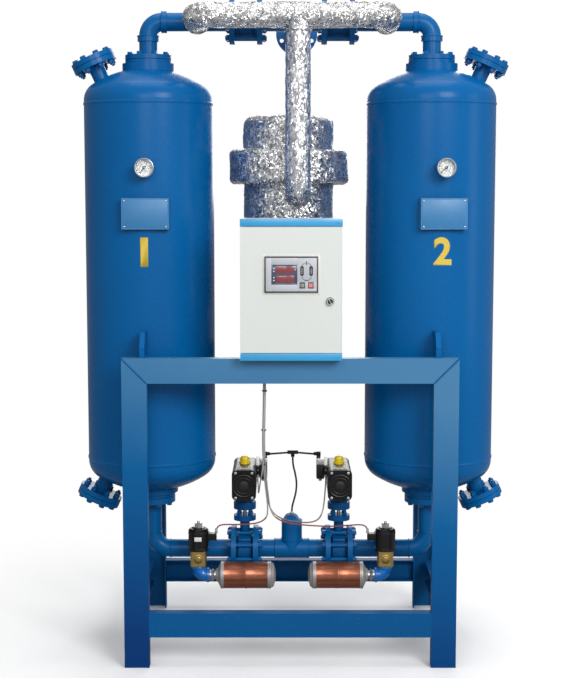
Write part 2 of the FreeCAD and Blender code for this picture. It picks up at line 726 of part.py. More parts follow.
def stud(length):
    """Stud along +Z with a nut seated on each outer flange face, from face to face."""
    nut = prism(NUT_ACROSS_FLATS, NUT_HEIGHT)
    far = nut.copy()
    nut.translate(V(0, 0, -NUT_HEIGHT))
    far.translate(V(0, 0, length))
    overhang = NUT_HEIGHT + STUD_TIP
    return fuse([rod(V(0, 0, -overhang), Z_AXIS, STUD_OD, length + 2 * overhang), nut, far])


def stud_set(x, z, circle, body_length, flange_thickness):
    length = body_length + 2 * flange_thickness
    one = stud(length)
    studs = []
    for place in circle_places(STUD_COUNT, circle):
        copy = one.copy()
        copy.translate(place)
        studs.append(aim(Part.makeCompound([copy]), V(x - length / 2, 0, z), X_AXIS))
    return studs


def build_studs():
    studs = []
    for side in (-1, 1):
        studs += stud_set(PIPE_MID_X + side * CHECK_SPREAD, TOP_PIPE_Z, TOP_STUD_CIRCLE,
                          CHECK_BODY_LENGTH, TOP_FLANGE_THICKNESS)
        studs += stud_set(PIPE_MID_X + side * VALVE_SPREAD, LOW_PIPE_Z, LOW_STUD_CIRCLE,
                          VALVE_BODY_LENGTH, LOW_FLANGE_THICKNESS)
    solids = [s for group in studs for s in group.Solids]
    save("flange_studs", Part.makeCompound(solids))


def build_inlet_tee():
    z = LOW_PIPE_Z
    cone = Part.makeCone(TAP_OD / 2, TAP_TIP_OD / 2, TAP_CONE_TOP - TAP_TOP,
                         V(PIPE_MID_X, 0, TAP_TOP))
    swelling = rod(V(PIPE_MID_X - INLET_TEE_LENGTH / 2, 0, z), X_AXIS, INLET_TEE_OD,
                   INLET_TEE_LENGTH)
    tap = rod(V(PIPE_MID_X, 0, z), Z_AXIS, TAP_OD, TAP_TOP - z)
    tap_bore = rod(V(PIPE_MID_X, 0, z), Z_AXIS, PIPE_BORE, TAP_TOP - z)
    save("inlet_tee", header_tee(z, VALVE_SPREAD - VALVE_BODY_LENGTH / 2, PIPE_MID_X,
                                 LOW_FLANGE_OD, LOW_FLANGE_THICKNESS, LOW_STUD_CIRCLE,
                                 [swelling, tap, cone], [tap_bore]))


# Butterfly valves and their actuators

def valve_body(x):
    """Wafer body with its neck and top pad, bored for the disc and the stem."""
    z = LOW_PIPE_Z
    start = V(x - VALVE_BODY_LENGTH / 2, 0, z)
    neck_height = VALVE_PAD_TOP - z
    shapes = [rod(start, X_AXIS, VALVE_SEAT_OD, VALVE_BODY_LENGTH),
              rod(V(x - VALVE_RING_WIDTH / 2, 0, z), X_AXIS, VALVE_BODY_OD, VALVE_RING_WIDTH),
              rod(V(x, 0, z), Z_AXIS, VALVE_NECK_OD, neck_height),
              rod(V(x, 0, VALVE_PAD_TOP - VALVE_PAD_THICKNESS), Z_AXIS, VALVE_PAD_OD,
                  VALVE_PAD_THICKNESS)]
    stem_bore = STEM_OD + 2 * RUNNING_GAP
    bores = [rod(start, X_AXIS, PIPE_BORE, VALVE_BODY_LENGTH),
             rod(V(x, 0, z - PIPE_BORE / 2 - STEM_FOOT), Z_AXIS, stem_bore,
                 neck_height + PIPE_BORE / 2 + STEM_FOOT)]
    return cut_each(fuse(shapes), bores)


def valve_disc(x):
    """Disc and stem in one, closed across the bore at rest."""
    z = LOW_PIPE_Z
    disc_od = PIPE_BORE - 2 * RUNNING_GAP
    disc = rod(V(x - DISC_THICKNESS / 2, 0, z), X_AXIS, disc_od, DISC_THICKNESS)
    bottom = z - PIPE_BORE / 2 - STEM_FOOT + RUNNING_GAP
    stem = rod(V(x, 0, bottom), Z_AXIS, STEM_OD, ACTUATOR_TOP + RUNNING_GAP - bottom)
    return fuse([disc, stem])


def indicator(x):
    """Domed position indicator on a wider collar, on top of the stem."""
    base = V(x, 0, ACTUATOR_TOP + RUNNING_GAP)
    collar = rod(base, Z_AXIS, INDICATOR_OD, INDICATOR_RISE)
    dome_height = INDICATOR_HEIGHT - INDICATOR_RISE
    dome = rod(base, Z_AXIS, INDICATOR_DOME_OD, INDICATOR_HEIGHT)
    rim = [e for e in dome.Edges if len(e.Vertexes) == 1 and e.Vertexes[0].Z > base.z + dome_height]
    return fuse([collar, dome.makeFillet(INDICATOR_DOME_OD / 3, rim)])


def actuator(x):
    """Square-section cylinder over a yoke that stands on the valve's pad."""
    half = ACTUATOR_WIDTH / 2
    length = ACTUATOR_LENGTH / 2
    body = box(x - half, x + half, -length, length, ACTUATOR_BOTTOM, ACTUATOR_BOTTOM + CAP_HEIGHT)
    edges = [e for e in body.Edges if abs(e.Vertexes[0].Y - e.Vertexes[1].Y) > ACTUATOR_LENGTH / 2]
    body = body.makeFillet(ACTUATOR_CORNER, edges)
    pad_half = ACTUATOR_PAD_WIDTH / 2
    top_pad = box(x - pad_half, x + pad_half, -length, length, ACTUATOR_BOTTOM + CAP_HEIGHT / 2,
                  ACTUATOR_TOP)
    plate = rod(V(x, 0, YOKE_TOP - YOKE_PLATE), Z_AXIS, VALVE_PAD_OD, YOKE_PLATE)
    coupling = rod(V(x, 0, YOKE_TOP), Z_AXIS, COUPLING_OD,
                   ACTUATOR_BOTTOM + COUPLING_SINK - YOKE_TOP)
    posts = []
    for dx in (-1, 1):
        for dy in (-1, 1):
            place = V(x + dx * YOKE_POST_PITCH / 2, dy * YOKE_POST_PITCH / 2, VALVE_PAD_TOP)
            posts.append(rod(place, Z_AXIS, YOKE_POST_OD, YOKE_TOP - YOKE_PLATE - VALVE_PAD_TOP))
    bore = rod(V(x, 0, VALVE_PAD_TOP), Z_AXIS, STEM_OD + 2 * RUNNING_GAP,
               ACTUATOR_TOP + FACE_MARGIN - VALVE_PAD_TOP)
    return fuse([body, top_pad, plate, coupling] + posts).cut(bore)


def end_cap(x, side):
    """Moulded end cap with a raised round boss."""
    y = side * ACTUATOR_LENGTH / 2
    half = CAP_WIDTH / 2
    y0, y1 = sorted((y, y + side * CAP_THICKNESS))
    plate = box(x - half, x + half, y0, y1, ACTUATOR_BOTTOM, ACTUATOR_BOTTOM + CAP_HEIGHT)
    edges = [e for e in plate.Edges if abs(e.Vertexes[0].Y - e.Vertexes[1].Y) > CAP_THICKNESS / 2]
    plate = plate.makeFillet(ACTUATOR_CORNER, edges)
    boss = rod(V(x, y, ACTUATOR_BOTTOM + CAP_HEIGHT / 2), Y_AXIS * side, CAP_BOSS_OD,
               CAP_THICKNESS + CAP_BOSS_PROUD)
    return fuse([plate, boss])


def pilot_valve(x, side):
    """Pilot solenoid on the inner side of an actuator: plate, block, hanging coil and fitting."""
    def span(near, far):
        ends = (x + side * (ACTUATOR_WIDTH / 2 + near), x + side * (ACTUATOR_WIDTH / 2 + far))
        return min(ends), max(ends)
    half = PILOT_DEPTH / 2
    x0, x1 = span(0, PILOT_PLATE)
    plate = box(x0, x1, -half, half, PILOT_BOTTOM, PILOT_BLOCK_BOTTOM)
    x0, x1 = span(0, PILOT_WIDTH)
    block = box(x0, x1, -half, half, PILOT_BLOCK_BOTTOM, PILOT_TOP)
    x0, x1 = span(PILOT_PLATE, PILOT_WIDTH)
    coil = box(x0, x1, -half - PILOT_COIL_SHIFT, half - PILOT_COIL_SHIFT,
               PILOT_BOTTOM - PILOT_COIL_DROP, PILOT_BLOCK_BOTTOM)
    x0, x1 = span(0, PILOT_PLATE)
    plug = box(x0, x1, -half - PILOT_PLUG_DEPTH, -half, PILOT_PLUG_BOTTOM, PILOT_BLOCK_BOTTOM)
    fitting = rod(V(x + side * (ACTUATOR_WIDTH / 2 + PILOT_WIDTH - FITTING_OD / 2), 0, PILOT_TOP),
                  Z_AXIS, FITTING_OD, FITTING_HEIGHT)
    return fuse([plate, block, coil, plug, fitting])


def build_valves():
    caps = []
    pilots = []
    for name, side in (("left", -1), ("right", 1)):
        x = PIPE_MID_X + side * VALVE_SPREAD
        save(name + "_butterfly_body", valve_body(x))
        save(name + "_butterfly_disc", valve_disc(x))
        save(name + "_indicator", indicator(x))
        save(name + "_actuator", actuator(x))
        caps += [end_cap(x, -1), end_cap(x, 1)]
        pilots.append(pilot_valve(x, -side))
    save("actuator_caps", Part.makeCompound(caps))
    save("pilot_valves", Part.makeCompound(pilots))


def build_air_tee():
    """Push-in tee with its two side tubes, feeding both pilot valves from the pressure tap."""
    tee_x = AIR_TEE_X
    shapes = [rod(V(tee_x - AIR_TEE_LENGTH / 2, 0, AIR_TEE_Z), X_AXIS, AIR_TEE_OD, AIR_TEE_LENGTH),
              rod(V(tee_x, 0, AIR_TEE_Z), -Z_AXIS, AIR_TEE_OD, AIR_TEE_DROP)]
    for side in (-1, 1):
        inner = VALVE_SPREAD - ACTUATOR_WIDTH / 2 - PILOT_WIDTH + FITTING_OD / 2
        end = V(PIPE_MID_X + side * inner, 0, AIR_TUBE_END_Z)
        start = V(tee_x, 0, AIR_TEE_Z)
        shapes.append(rod(start, end - start, AIR_TUBE_OD, (end - start).Length))
    fittings = [rod(V(PIPE_MID_X + side * inner, 0, PILOT_TOP), Z_AXIS, FITTING_OD, FITTING_HEIGHT)
                for side in (-1, 1)]
    save("air_tee", fuse(shapes).cut(fuse(fittings)))


# Purge valves

def upright_edges(shape):
    return [e for e in shape.Edges if abs(e.Vertexes[0].Z - e.Vertexes[1].Z) > FACE_MARGIN]


def purge_body(x):
    """Brass body, its flow passage open to the branch behind and to the elbow below."""
    half = PURGE_BODY_WIDTH / 2
    body = box(x - half, x + half, PURGE_Y - half, PURGE_Y + half, PURGE_BODY_BOTTOM,
               PURGE_BODY_BOTTOM + PURGE_BODY_HEIGHT)
    body = body.makeFillet(PURGE_CORNER, upright_edges(body))
    passages = [rod(V(x, PURGE_Y, LOW_PIPE_Z), Y_AXIS, PURGE_BORE, half + FACE_MARGIN),
                rod(V(x, PURGE_Y, LOW_PIPE_Z), -Z_AXIS, PURGE_BORE,
                    LOW_PIPE_Z - PURGE_BODY_BOTTOM + FACE_MARGIN)]
    return cut_each(body, passages)


def purge_coil(x, side):
    """Coil with its lower collar, its top nut and its cable plug."""
    half_w = COIL_WIDTH / 2
    half_d = COIL_DEPTH / 2
    coil = box(x - half_w, x + half_w, PURGE_Y - half_d, PURGE_Y + half_d, COIL_BOTTOM,
               COIL_BOTTOM + COIL_HEIGHT)
    coil = coil.makeFillet(COIL_CORNER, upright_edges(coil))
    coil_top = COIL_BOTTOM + COIL_HEIGHT
    rim = [e for e in coil.Edges if min(v.Z for v in e.Vertexes) > coil_top - FACE_MARGIN]
    coil = coil.makeChamfer(COIL_RIM, rim)
    top = PURGE_BODY_BOTTOM + PURGE_BODY_HEIGHT
    collar = rod(V(x, PURGE_Y, top), Z_AXIS, PURGE_NECK_OD, COIL_BOTTOM - top)
    nut = prism(COIL_NUT_ACROSS, COIL_NUT_HEIGHT)
    nut.translate(V(x, PURGE_Y, coil_top))
    end = x + side * (half_w + PLUG_LENGTH)
    x0, x1 = sorted((x, end))
    z = coil_top - PLUG_DROP
    plug = box(x0, x1, PURGE_Y - PLUG_WIDTH / 2, PURGE_Y + PLUG_WIDTH / 2, z - PLUG_HEIGHT, z)
    return fuse([coil, collar, nut, plug])


def purge_elbow(x, side):
    """Street elbow under the brass body, turning towards the silencer."""
    end = x + side * ELBOW_REACH
    route = [V(x, PURGE_Y, PURGE_BODY_BOTTOM), V(x, PURGE_Y, SILENCER_Z),
             V(end, PURGE_Y, SILENCER_Z)]
    return swept_tube(route, ELBOW_RADIUS, ELBOW_OD, ELBOW_BORE)


def silencer(x, side):
    """Perforated can between two coned end caps, on a nipple from the elbow."""
    z = SILENCER_Z
    start = x + side * ELBOW_REACH
    first_cap = start + side * NIPPLE_LENGTH
    can = first_cap + side * SILENCER_CAP_LENGTH
    last_cap = can + side * SILENCER_LENGTH
    axis = X_AXIS * side
    wide = SILENCER_OD / 2
    narrow = SILENCER_CAP_OD / 2
    shapes = [rod(V(start, PURGE_Y, z), axis, NIPPLE_OD, NIPPLE_LENGTH),
              Part.makeCone(narrow, wide, SILENCER_CAP_LENGTH, V(first_cap, PURGE_Y, z), axis),
              rod(V(can, PURGE_Y, z), axis, SILENCER_OD, SILENCER_LENGTH),
              Part.makeCone(wide, narrow, SILENCER_CAP_LENGTH, V(last_cap, PURGE_Y, z), axis)]
    return fuse(shapes)


def build_purge():
    bodies = []
    coils = []
    elbows = []
    for name, side in (("left", 1), ("right", -1)):
        x = PIPE_MID_X - side * PURGE_SPREAD
        bodies.append(purge_body(x))
        coils.append(purge_coil(x, side))
        elbows.append(purge_elbow(x, side))
        save(name + "_silencer", silencer(x, side))
    save("purge_valve_bodies", Part.makeCompound(bodies))
    save("purge_coils", Part.makeCompound(coils))
    save("purge_elbows", Part.makeCompound(elbows))


# Hot air header and heater

def heater_profile():
    outer = HEATER_OD / 2
    skirt = HEATER_SKIRT_OD / 2
    inner = outer - HEATER_WALL
    bottom = HEATER_SHELL_BOTTOM
    floor = bottom + HEATER_FLOOR
    skirt_inner = skirt - HEATER_SKIRT_WALL
    return [(skirt, FRAME_HEIGHT), (skirt, bottom), (outer, bottom + HEATER_SHOULDER),
            (outer, HEATER_BAND_BOTTOM), (inner, HEATER_BAND_BOTTOM), (inner, floor),
            (0, floor), (0, bottom), (skirt_inner, bottom), (skirt_inner, FRAME_HEIGHT)]


def heater_place(z):
    return V(HEATER_X, HEATER_Y, z)


def heater_space():
    return rod(heater_place(HEATER_SHELL_BOTTOM), Z_AXIS, HEATER_OD,
               HEATER_BAND_BOTTOM - HEATER_SHELL_BOTTOM)


def build_heater():
    vessel = turned(heater_profile(), V(HEATER_X, HEATER_Y, 0))
    inlet = rod(V(OUTLET_X, HEATER_Y, FEED_Z), Y_AXIS, FEED_BORE, FEED_Y - HEATER_Y)
    outlet = rod(V(HOT_LEG_X, HEATER_Y, HOT_OUTLET_Z), -Y_AXIS, HOT_BORE, HEATER_OD)
    save("heater_vessel", cut_each(vessel, [inlet, outlet]))
    crown = HEATER_TOP - HEATER_CROWN
    head_r = HEATER_HEAD_OD / 2
    band_r = HEATER_BAND_OD / 2
    edge = HEATER_BAND_EDGE
    profile = [(0, HEATER_BAND_BOTTOM), (band_r - edge, HEATER_BAND_BOTTOM),
               (band_r, HEATER_BAND_BOTTOM + edge), (band_r, HEATER_BAND_TOP - edge),
               (band_r - edge, HEATER_BAND_TOP), (head_r, HEATER_BAND_TOP), (head_r, crown),
               (head_r - HEATER_CROWN, HEATER_TOP), (0, HEATER_TOP)]
    save("heater_head", turned(profile, V(HEATER_X, HEATER_Y, 0)))
    length = HEATER_BAND_BOTTOM - ROD_BOTTOM
    rods = [rod(heater_place(ROD_BOTTOM) + p, Z_AXIS, ROD_OD, length)
            for p in circle_places(ROD_COUNT, ROD_CIRCLE)]
    save("heater_rods", Part.makeCompound(rods))
    start = V(OUTLET_X, FEED_Y, TOP_PIPE_Z - PIPE_R - FEED_DROP)
    route = [start, V(OUTLET_X, FEED_Y, FEED_Z), V(OUTLET_X, HEATER_Y, FEED_Z)]
    feed = swept_tube(route, FEED_BEND, FEED_OD, FEED_BORE)
    save("heater_feed_pipe", feed.cut(heater_space()))


def build_hot_header():
    z = TOP_PIPE_Z
    ends = [V(PIPE_MID_X - HOT_SPREAD, 0, z), V(PIPE_MID_X - HOT_SPREAD, HOT_Y, z),
            V(PIPE_MID_X + HOT_SPREAD, HOT_Y, z), V(PIPE_MID_X + HOT_SPREAD, 0, z)]
    leg = [V(HOT_LEG_X, HOT_Y, z), V(HOT_LEG_X, HOT_Y, HOT_OUTLET_Z),
           V(HOT_LEG_X, HEATER_Y, HOT_OUTLET_Z)]
    routes = (ends, leg)
    outside = fuse([swept_rod(route, HOT_BEND, HOT_OD) for route in routes])
    inside = [swept_rod(route, HOT_BEND, HOT_BORE) for route in routes]
    pipe = rod(V(-TOWER_X, 0, z), X_AXIS, PIPE_OD, TOWER_SPACING)
    behind = box(-TOWER_X, TOWER_X, 0, HOT_OD, z - HOT_OD, z + HOT_OD)
    save("hot_air_header", cut_each(outside, inside + [pipe, behind, heater_space()]))


# Cabinet

def build_cabinet():
    x0, x1 = CABINET_LEFT, CABINET_RIGHT
    z0, z1 = FRAME_HEIGHT, CABINET_TOP
    y0, y1 = DOOR_BACK_Y, CABINET_BACK_Y
    case = box(x0, x1, y0, y1, z0, z1)
    case = case.cut(box(x0 + SHEET, x1 - SHEET, y0 + SHEET, y1 - SHEET, z0 + SHEET, z1 - SHEET))
    case = case.cut(box(x0 + LIP_WIDTH, x1 - LIP_WIDTH, y0 - FACE_MARGIN, y0 + SHEET + FACE_MARGIN,
                        z0 + STRIP_HEIGHT, z1 - STRIP_HEIGHT))
    strips = [box(x0, x1, CABINET_FRONT_Y, y0, z0, z0 + STRIP_HEIGHT),
              box(x0, x1, CABINET_FRONT_Y, y0, z1 - STRIP_HEIGHT, z1)]
    gland = prism(GLAND_ACROSS, GLAND_LENGTH)
    gland.translate(V(GLAND_X, GLAND_Y, z0 - GLAND_LENGTH))
    socket_length = HINGE_PIN_REACH - DOOR_GAP + FACE_MARGIN
    socket_od = HINGE_PIN_OD + 2 * RUNNING_GAP
    sockets = [rod(V(HINGE_X, HINGE_Y, z0 + STRIP_HEIGHT), -Z_AXIS, socket_od, socket_length),
               rod(V(HINGE_X, HINGE_Y, z1 - STRIP_HEIGHT), Z_AXIS, socket_od, socket_length)]
    save("cabinet_box", cut_each(fuse([case, gland] + strips), sockets))


def build_door():
    x0, x1 = CABINET_LEFT + DOOR_GAP / 2, CABINET_RIGHT - DOOR_GAP / 2
    z0 = FRAME_HEIGHT + STRIP_HEIGHT + DOOR_GAP
    z1 = CABINET_TOP - STRIP_HEIGHT - DOOR_GAP
    back = DOOR_BACK_Y - DOOR_BACK_GAP
    panel = box(x0, x1, CABINET_FRONT_Y, back, z0, z1)
    panel = panel.cut(box(x0 + SHEET, x1 - SHEET, CABINET_FRONT_Y + SHEET, back + FACE_MARGIN,
                          z0 + SHEET, z1 - SHEET))
    cut_w = CONTROLLER_WIDTH / 2 - CONTROLLER_RIM
    cut_h = CONTROLLER_HEIGHT / 2 - CONTROLLER_RIM
    opening = box(CABINET_X - cut_w, CABINET_X + cut_w, CABINET_FRONT_Y - FACE_MARGIN,
                  CABINET_FRONT_Y + SHEET + FACE_MARGIN, CONTROLLER_Z - cut_h, CONTROLLER_Z + cut_h)
    lock_hole = rod(V(LOCK_X, CABINET_FRONT_Y - FACE_MARGIN, LOCK_Z), Y_AXIS,
                    LOCK_SHAFT_OD + 2 * RUNNING_GAP, DOOR_THICKNESS)
    pins = [rod(V(HINGE_X, HINGE_Y, z0 + SHEET), -Z_AXIS, HINGE_PIN_OD, HINGE_PIN_REACH + SHEET),
            rod(V(HINGE_X, HINGE_Y, z1 - SHEET), Z_AXIS, HINGE_PIN_OD, HINGE_PIN_REACH + SHEET)]
    save("cabinet_door", cut_each(fuse([panel] + pins), [opening, lock_hole]))


def build_controller():
    half_w = CONTROLLER_WIDTH / 2
    half_h = CONTROLLER_HEIGHT / 2
    z = CONTROLLER_Z
    face = box(CABINET_X - half_w, CABINET_X + half_w, CONTROLLER_FACE_Y, CABINET_FRONT_Y,
               z - half_h, z + half_h)
    edges = [e for e in face.Edges if abs(e.Vertexes[0].Y - e.Vertexes[1].Y) > CONTROLLER_PROUD / 2]
    face = face.makeFillet(CONTROLLER_CORNER, edges)
    inner_w = half_w - CONTROLLER_RIM - KEY_CLEARANCE
    inner_h = half_h - CONTROLLER_RIM - KEY_CLEARANCE
    body = box(CABINET_X - inner_w, CABINET_X + inner_w, CABINET_FRONT_Y,
               CABINET_FRONT_Y + CONTROLLER_BODY_DEPTH, z - inner_h, z + inner_h)
    window_x = CABINET_X + WINDOW_X
    window = box(window_x - WINDOW_WIDTH / 2, window_x + WINDOW_WIDTH / 2, CONTROLLER_FACE_Y - FACE_MARGIN,
                 CONTROLLER_FACE_Y + WINDOW_SINK, z - WINDOW_HEIGHT / 2, z + WINDOW_HEIGHT / 2)
    shape = fuse([face, body]).cut(window)
    for k in range(2):
        x = KEY_X + (k - 0.5) * KEY_PITCH
        half = KEY_SIZE / 2 + KEY_CLEARANCE
        pocket = box(x - half, x + half, CONTROLLER_FACE_Y - FACE_MARGIN,
                     CONTROLLER_FACE_Y + CONTROLLER_PROUD, KEY_Z - half, KEY_Z + half)
        shape = shape.cut(pocket)
    save("controller", shape)


def build_keys():
    for k, name in enumerate(("start_key", "stop_key")):
        x = KEY_X + (k - 0.5) * KEY_PITCH
        half = KEY_SIZE / 2
        front = CONTROLLER_FACE_Y - KEY_TRAVEL
        back = CONTROLLER_FACE_Y + CONTROLLER_PROUD - KEY_TRAVEL - KEY_CLEARANCE
        save(name, box(x - half, x + half, front, back, KEY_Z - half, KEY_Z + half))


def build_lock():
    """Quarter-turn lock: the cam points down when the door is free to open."""
    head = rod(V(LOCK_X, CABINET_FRONT_Y - LOCK_PROUD, LOCK_Z), Y_AXIS, LOCK_OD,
               LOCK_PROUD - RUNNING_GAP)
    slot_width, slot_depth, slot_length = LOCK_SLOT
    face = CABINET_FRONT_Y - LOCK_PROUD
    head = head.cut(box(LOCK_X - slot_width / 2, LOCK_X + slot_width / 2, face - FACE_MARGIN,
                        face + slot_depth, LOCK_Z - slot_length / 2, LOCK_Z + slot_length / 2))
    cam_front = DOOR_BACK_Y + SHEET + LOCK_CAM_GAP
    cam_back = cam_front + LOCK_CAM_THICKNESS
    shaft = rod(V(LOCK_X, CABINET_FRONT_Y - FACE_MARGIN, LOCK_Z), Y_AXIS, LOCK_SHAFT_OD,
                cam_back + 2 * FACE_MARGIN - CABINET_FRONT_Y)
    cam = box(LOCK_X - LOCK_CAM_WIDTH / 2, LOCK_X + LOCK_CAM_WIDTH / 2, cam_front, cam_back,
              LOCK_Z - LOCK_CAM_LENGTH, LOCK_Z + LOCK_CAM_WIDTH / 2)
    save("door_lock", fuse([head, shaft, cam]))


def gear_row(count, size, start, pitch, bottom, back):
    """Row of equal blocks standing forward of the mounting plate."""
    width, depth, height = size
    row = []
    for k in range(count):
        x = CABINET_LEFT + GEAR_MARGIN_X + start + k * pitch
        row.append(box(x, x + width, back - depth, back, bottom, bottom + height))
    return row


def build_control_gear():
    """Mounting plate with a row of contactors and a terminal row, inside the cabinet."""
    back = CABINET_BACK_Y - SHEET
    front = back - GEAR_PLATE
    plate = box(CABINET_LEFT + GEAR_MARGIN_X, CABINET_RIGHT - GEAR_MARGIN_X, front, back,
                FRAME_HEIGHT + GEAR_MARGIN_Z, CABINET_TOP - GEAR_MARGIN_Z)
    contactors = gear_row(CONTACTOR_COUNT, CONTACTOR, CONTACTOR_START, CONTACTOR_PITCH,
                          CABINET_TOP - CONTACTOR_DROP, front)
    terminals = gear_row(TERMINAL_COUNT, TERMINAL, TERMINAL_START, TERMINAL_PITCH,
                         FRAME_HEIGHT + TERMINAL_RISE, front)
    save("control_gear", fuse([plate] + contactors + terminals))


# Gauges and name plates

def at_tower_front(shape, side):
    """Turns a fitting built at the tower's front line about the tower axis, and moves it there."""
    turn = LEFT_FRONT_TURN if side < 0 else RIGHT_FRONT_TURN
    copy = shape.copy()
    copy.rotate(V(), Z_AXIS, turn)
    copy.translate(V(side * TOWER_X, 0, 0))
    return copy


def gauge_case():
    front = V(0, GAUGE_FACE_Y, GAUGE_Z)
    case = rod(front, Y_AXIS, GAUGE_OD, GAUGE_DEPTH)
    hollow = rod(front, Y_AXIS, GAUGE_OD - 2 * GAUGE_WALL, GAUGE_RECESS)
    pin = rod(front + V(0, GAUGE_RECESS, 0), -Y_AXIS, GAUGE_PIN_OD, GAUGE_PIN_LENGTH)
    stem = rod(V(0, GAUGE_FACE_Y + GAUGE_DEPTH, GAUGE_Z), Y_AXIS, GAUGE_STEM_OD,
               -GAUGE_FACE_Y - GAUGE_DEPTH)
    tower = rod(V(0, 0, GAUGE_Z - GAUGE_OD), Z_AXIS, TOWER_OD, 2 * GAUGE_OD)
    return fuse([case.cut(hollow), pin, stem]).cut(tower)


def gauge_needle():
    """Tapered needle on a small hub, pointing at zero, low on the left of the dial."""
    root, tip = NEEDLE_ROOT_WIDTH / 2, NEEDLE_TIP_WIDTH / 2
    outline = [V(-NEEDLE_TAIL, 0, -root), V(NEEDLE_LENGTH, 0, -tip),
               V(NEEDLE_LENGTH, 0, tip), V(-NEEDLE_TAIL, 0, root)]
    blade = extrude(outline, V(0, NEEDLE_THICKNESS, 0))
    hub = rod(V(), Y_AXIS, NEEDLE_HUB_OD, NEEDLE_THICKNESS)
    bore = rod(V(), Y_AXIS, GAUGE_PIN_OD + 2 * RUNNING_GAP, NEEDLE_THICKNESS)
    needle = fuse([blade, hub]).cut(bore)
    needle.rotate(V(), Y_AXIS, -NEEDLE_ZERO)
    needle.translate(V(0, GAUGE_FACE_Y + GAUGE_RECESS - NEEDLE_STANDOFF, GAUGE_Z))
    return needle


def name_plate():
    """Blank plate on a folded bracket that is welded to the tower."""
    half = PLATE_WIDTH / 2
    z0 = PLATE_CENTRE_Z - PLATE_HEIGHT / 2
    z1 = PLATE_CENTRE_Z + PLATE_HEIGHT / 2
    front = box(-half, half, PLATE_FACE_Y, PLATE_FACE_Y + PLATE_SHEET, z0, z1)
    sides = [box(-half, -half + PLATE_SHEET, PLATE_FACE_Y, -TOWER_R / 2, z0, z1),
             box(half - PLATE_SHEET, half, PLATE_FACE_Y, -TOWER_R / 2, z0, z1)]
    tower = rod(V(0, 0, z0), Z_AXIS, TOWER_OD, PLATE_HEIGHT)
    return fuse([front] + sides).cut(tower)


def build_tower_fittings():
    plates = []
    for name, side in (("left", -1), ("right", 1)):
        save(name + "_gauge_case", at_tower_front(gauge_case(), side))
        save(name + "_gauge_needle", at_tower_front(gauge_needle(), side))
        plates.append(at_tower_front(name_plate(), side))
    save("name_plates", Part.makeCompound(plates))


# Cables: routes kept as points, made as straight runs joined by tangent arcs

def cord(points, diameter):
    """Tube along the route, each arc as large as its two runs allow."""
    edges = []
    start = points[0]
    for before, corner, after in zip(points, points[1:], points[2:]):
        turn = math.pi - (before - corner).getAngle(after - corner)
        shorter = min((before - corner).Length, (after - corner).Length)
        radius = 0.45 * shorter / math.tan(turn / 2)
        first, last, middle, _, _, turn = bend(before, corner, after, radius)
        edges.append(Part.LineSegment(start, first).toShape())
        edges.append(Part.Arc(first, middle, last).toShape())
        start = last
    edges.append(Part.LineSegment(start, points[-1]).toShape())
    ring = Part.Face(Part.Wire(Part.makeCircle(diameter / 2, points[0], points[1] - points[0])))
    path = Part.Wire(edges)
    print("length %.0f" % path.Length)
    return path.makePipe(ring)


LEFT_CABLE_ROUTE = [
    (-107, -345, 1235), (-107, -345, 1155), (-108, -340, 1075), (-110, -328, 995),
    (-112, -308, 915), (-111, -280, 840), (-108, -246, 770), (-103, -210, 705),
    (-97, -176, 645), (-93, -149, 590), (-97, -134, 550), (-128, -130, 526),
    (-180, -130, 520), (-230, -133, 519), (-270, -138, 521), (-296, -140, 519),
    (-311, -140, 504), (-311, -140, 484)]
RIGHT_CABLE_ROUTE = [
    (-100, -345, 1235), (-100, -345, 1155), (-101, -340, 1075), (-103, -328, 995),
    (-105, -308, 915), (-104, -280, 840), (-101, -246, 770), (-96, -210, 705),
    (-90, -176, 645), (-84, -149, 590), (-66, -132, 552), (-28, -124, 528),
    (24, -123, 518), (80, -123, 513), (136, -124, 510), (192, -126, 510), (242, -131, 515),
    (284, -138, 520), (312, -140, 519), (327, -140, 504), (327, -140, 484)]
LEFT_PILOT_CABLE_ROUTE = [
    (-103, -351, 1235), (-103, -351, 1155), (-104, -346, 1075), (-107, -334, 995),
    (-109, -314, 915), (-108, -287, 840), (-114, -258, 774), (-124, -212, 716),
    (-130, -160, 672), (-133, -104, 646), (-134, -62, 650), (-136, -39, 675),
    (-137, -33, 700), (-137, -33, 715)]
RIGHT_PILOT_CABLE_ROUTE = [
    (-104, -337, 1235), (-104, -337, 1155), (-105, -332, 1075), (-107, -320, 995),
    (-109, -300, 915), (-108, -272, 840), (-105, -238, 770), (-100, -202, 705),
    (-93, -168, 645), (-86, -139, 592), (-60, -126, 556), (-20, -115, 534),
    (30, -112, 525), (80, -110, 521), (120, -98, 530), (138, -76, 556), (145, -60, 592),
    (149, -48, 630), (152, -39, 665), (153, -33, 693), (153, -33, 715)]
PILOT_HOSE_ROUTE = [(12, 0, 786), (12, 0, 752), (22, -4, 716), (29, -6, 676), (27, -5, 634),
                    (17, -2, 594), (8, 0, 562), (8, 0, 532)]


def build_cords():
    for name, route, diameter in (("left_cable", LEFT_CABLE_ROUTE, CABLE_OD),
                                  ("right_cable", RIGHT_CABLE_ROUTE, CABLE_OD),
                                  ("left_pilot_cable", LEFT_PILOT_CABLE_ROUTE, CABLE_OD),
                                  ("right_pilot_cable", RIGHT_PILOT_CABLE_ROUTE, CABLE_OD),
                                  ("pilot_hose", PILOT_HOSE_ROUTE, AIR_TUBE_OD)):
        print(name)
        save(name, cord([V(*p) for p in route], diameter))


def main():
    os.makedirs("parts", exist_ok=True)
    build_posts()
    build_beams()
    build_towers()
    build_spools()
    build_outlet_tee()
    build_check_valves()
    build_studs()
    build_inlet_tee()
    build_valves()
    build_air_tee()
    build_purge()
    build_heater()
    build_hot_header()
    build_cabinet()
    build_door()
    build_controller()
    build_keys()
    build_lock()
    build_control_gear()
    build_tower_fittings()
    build_cords()


main()
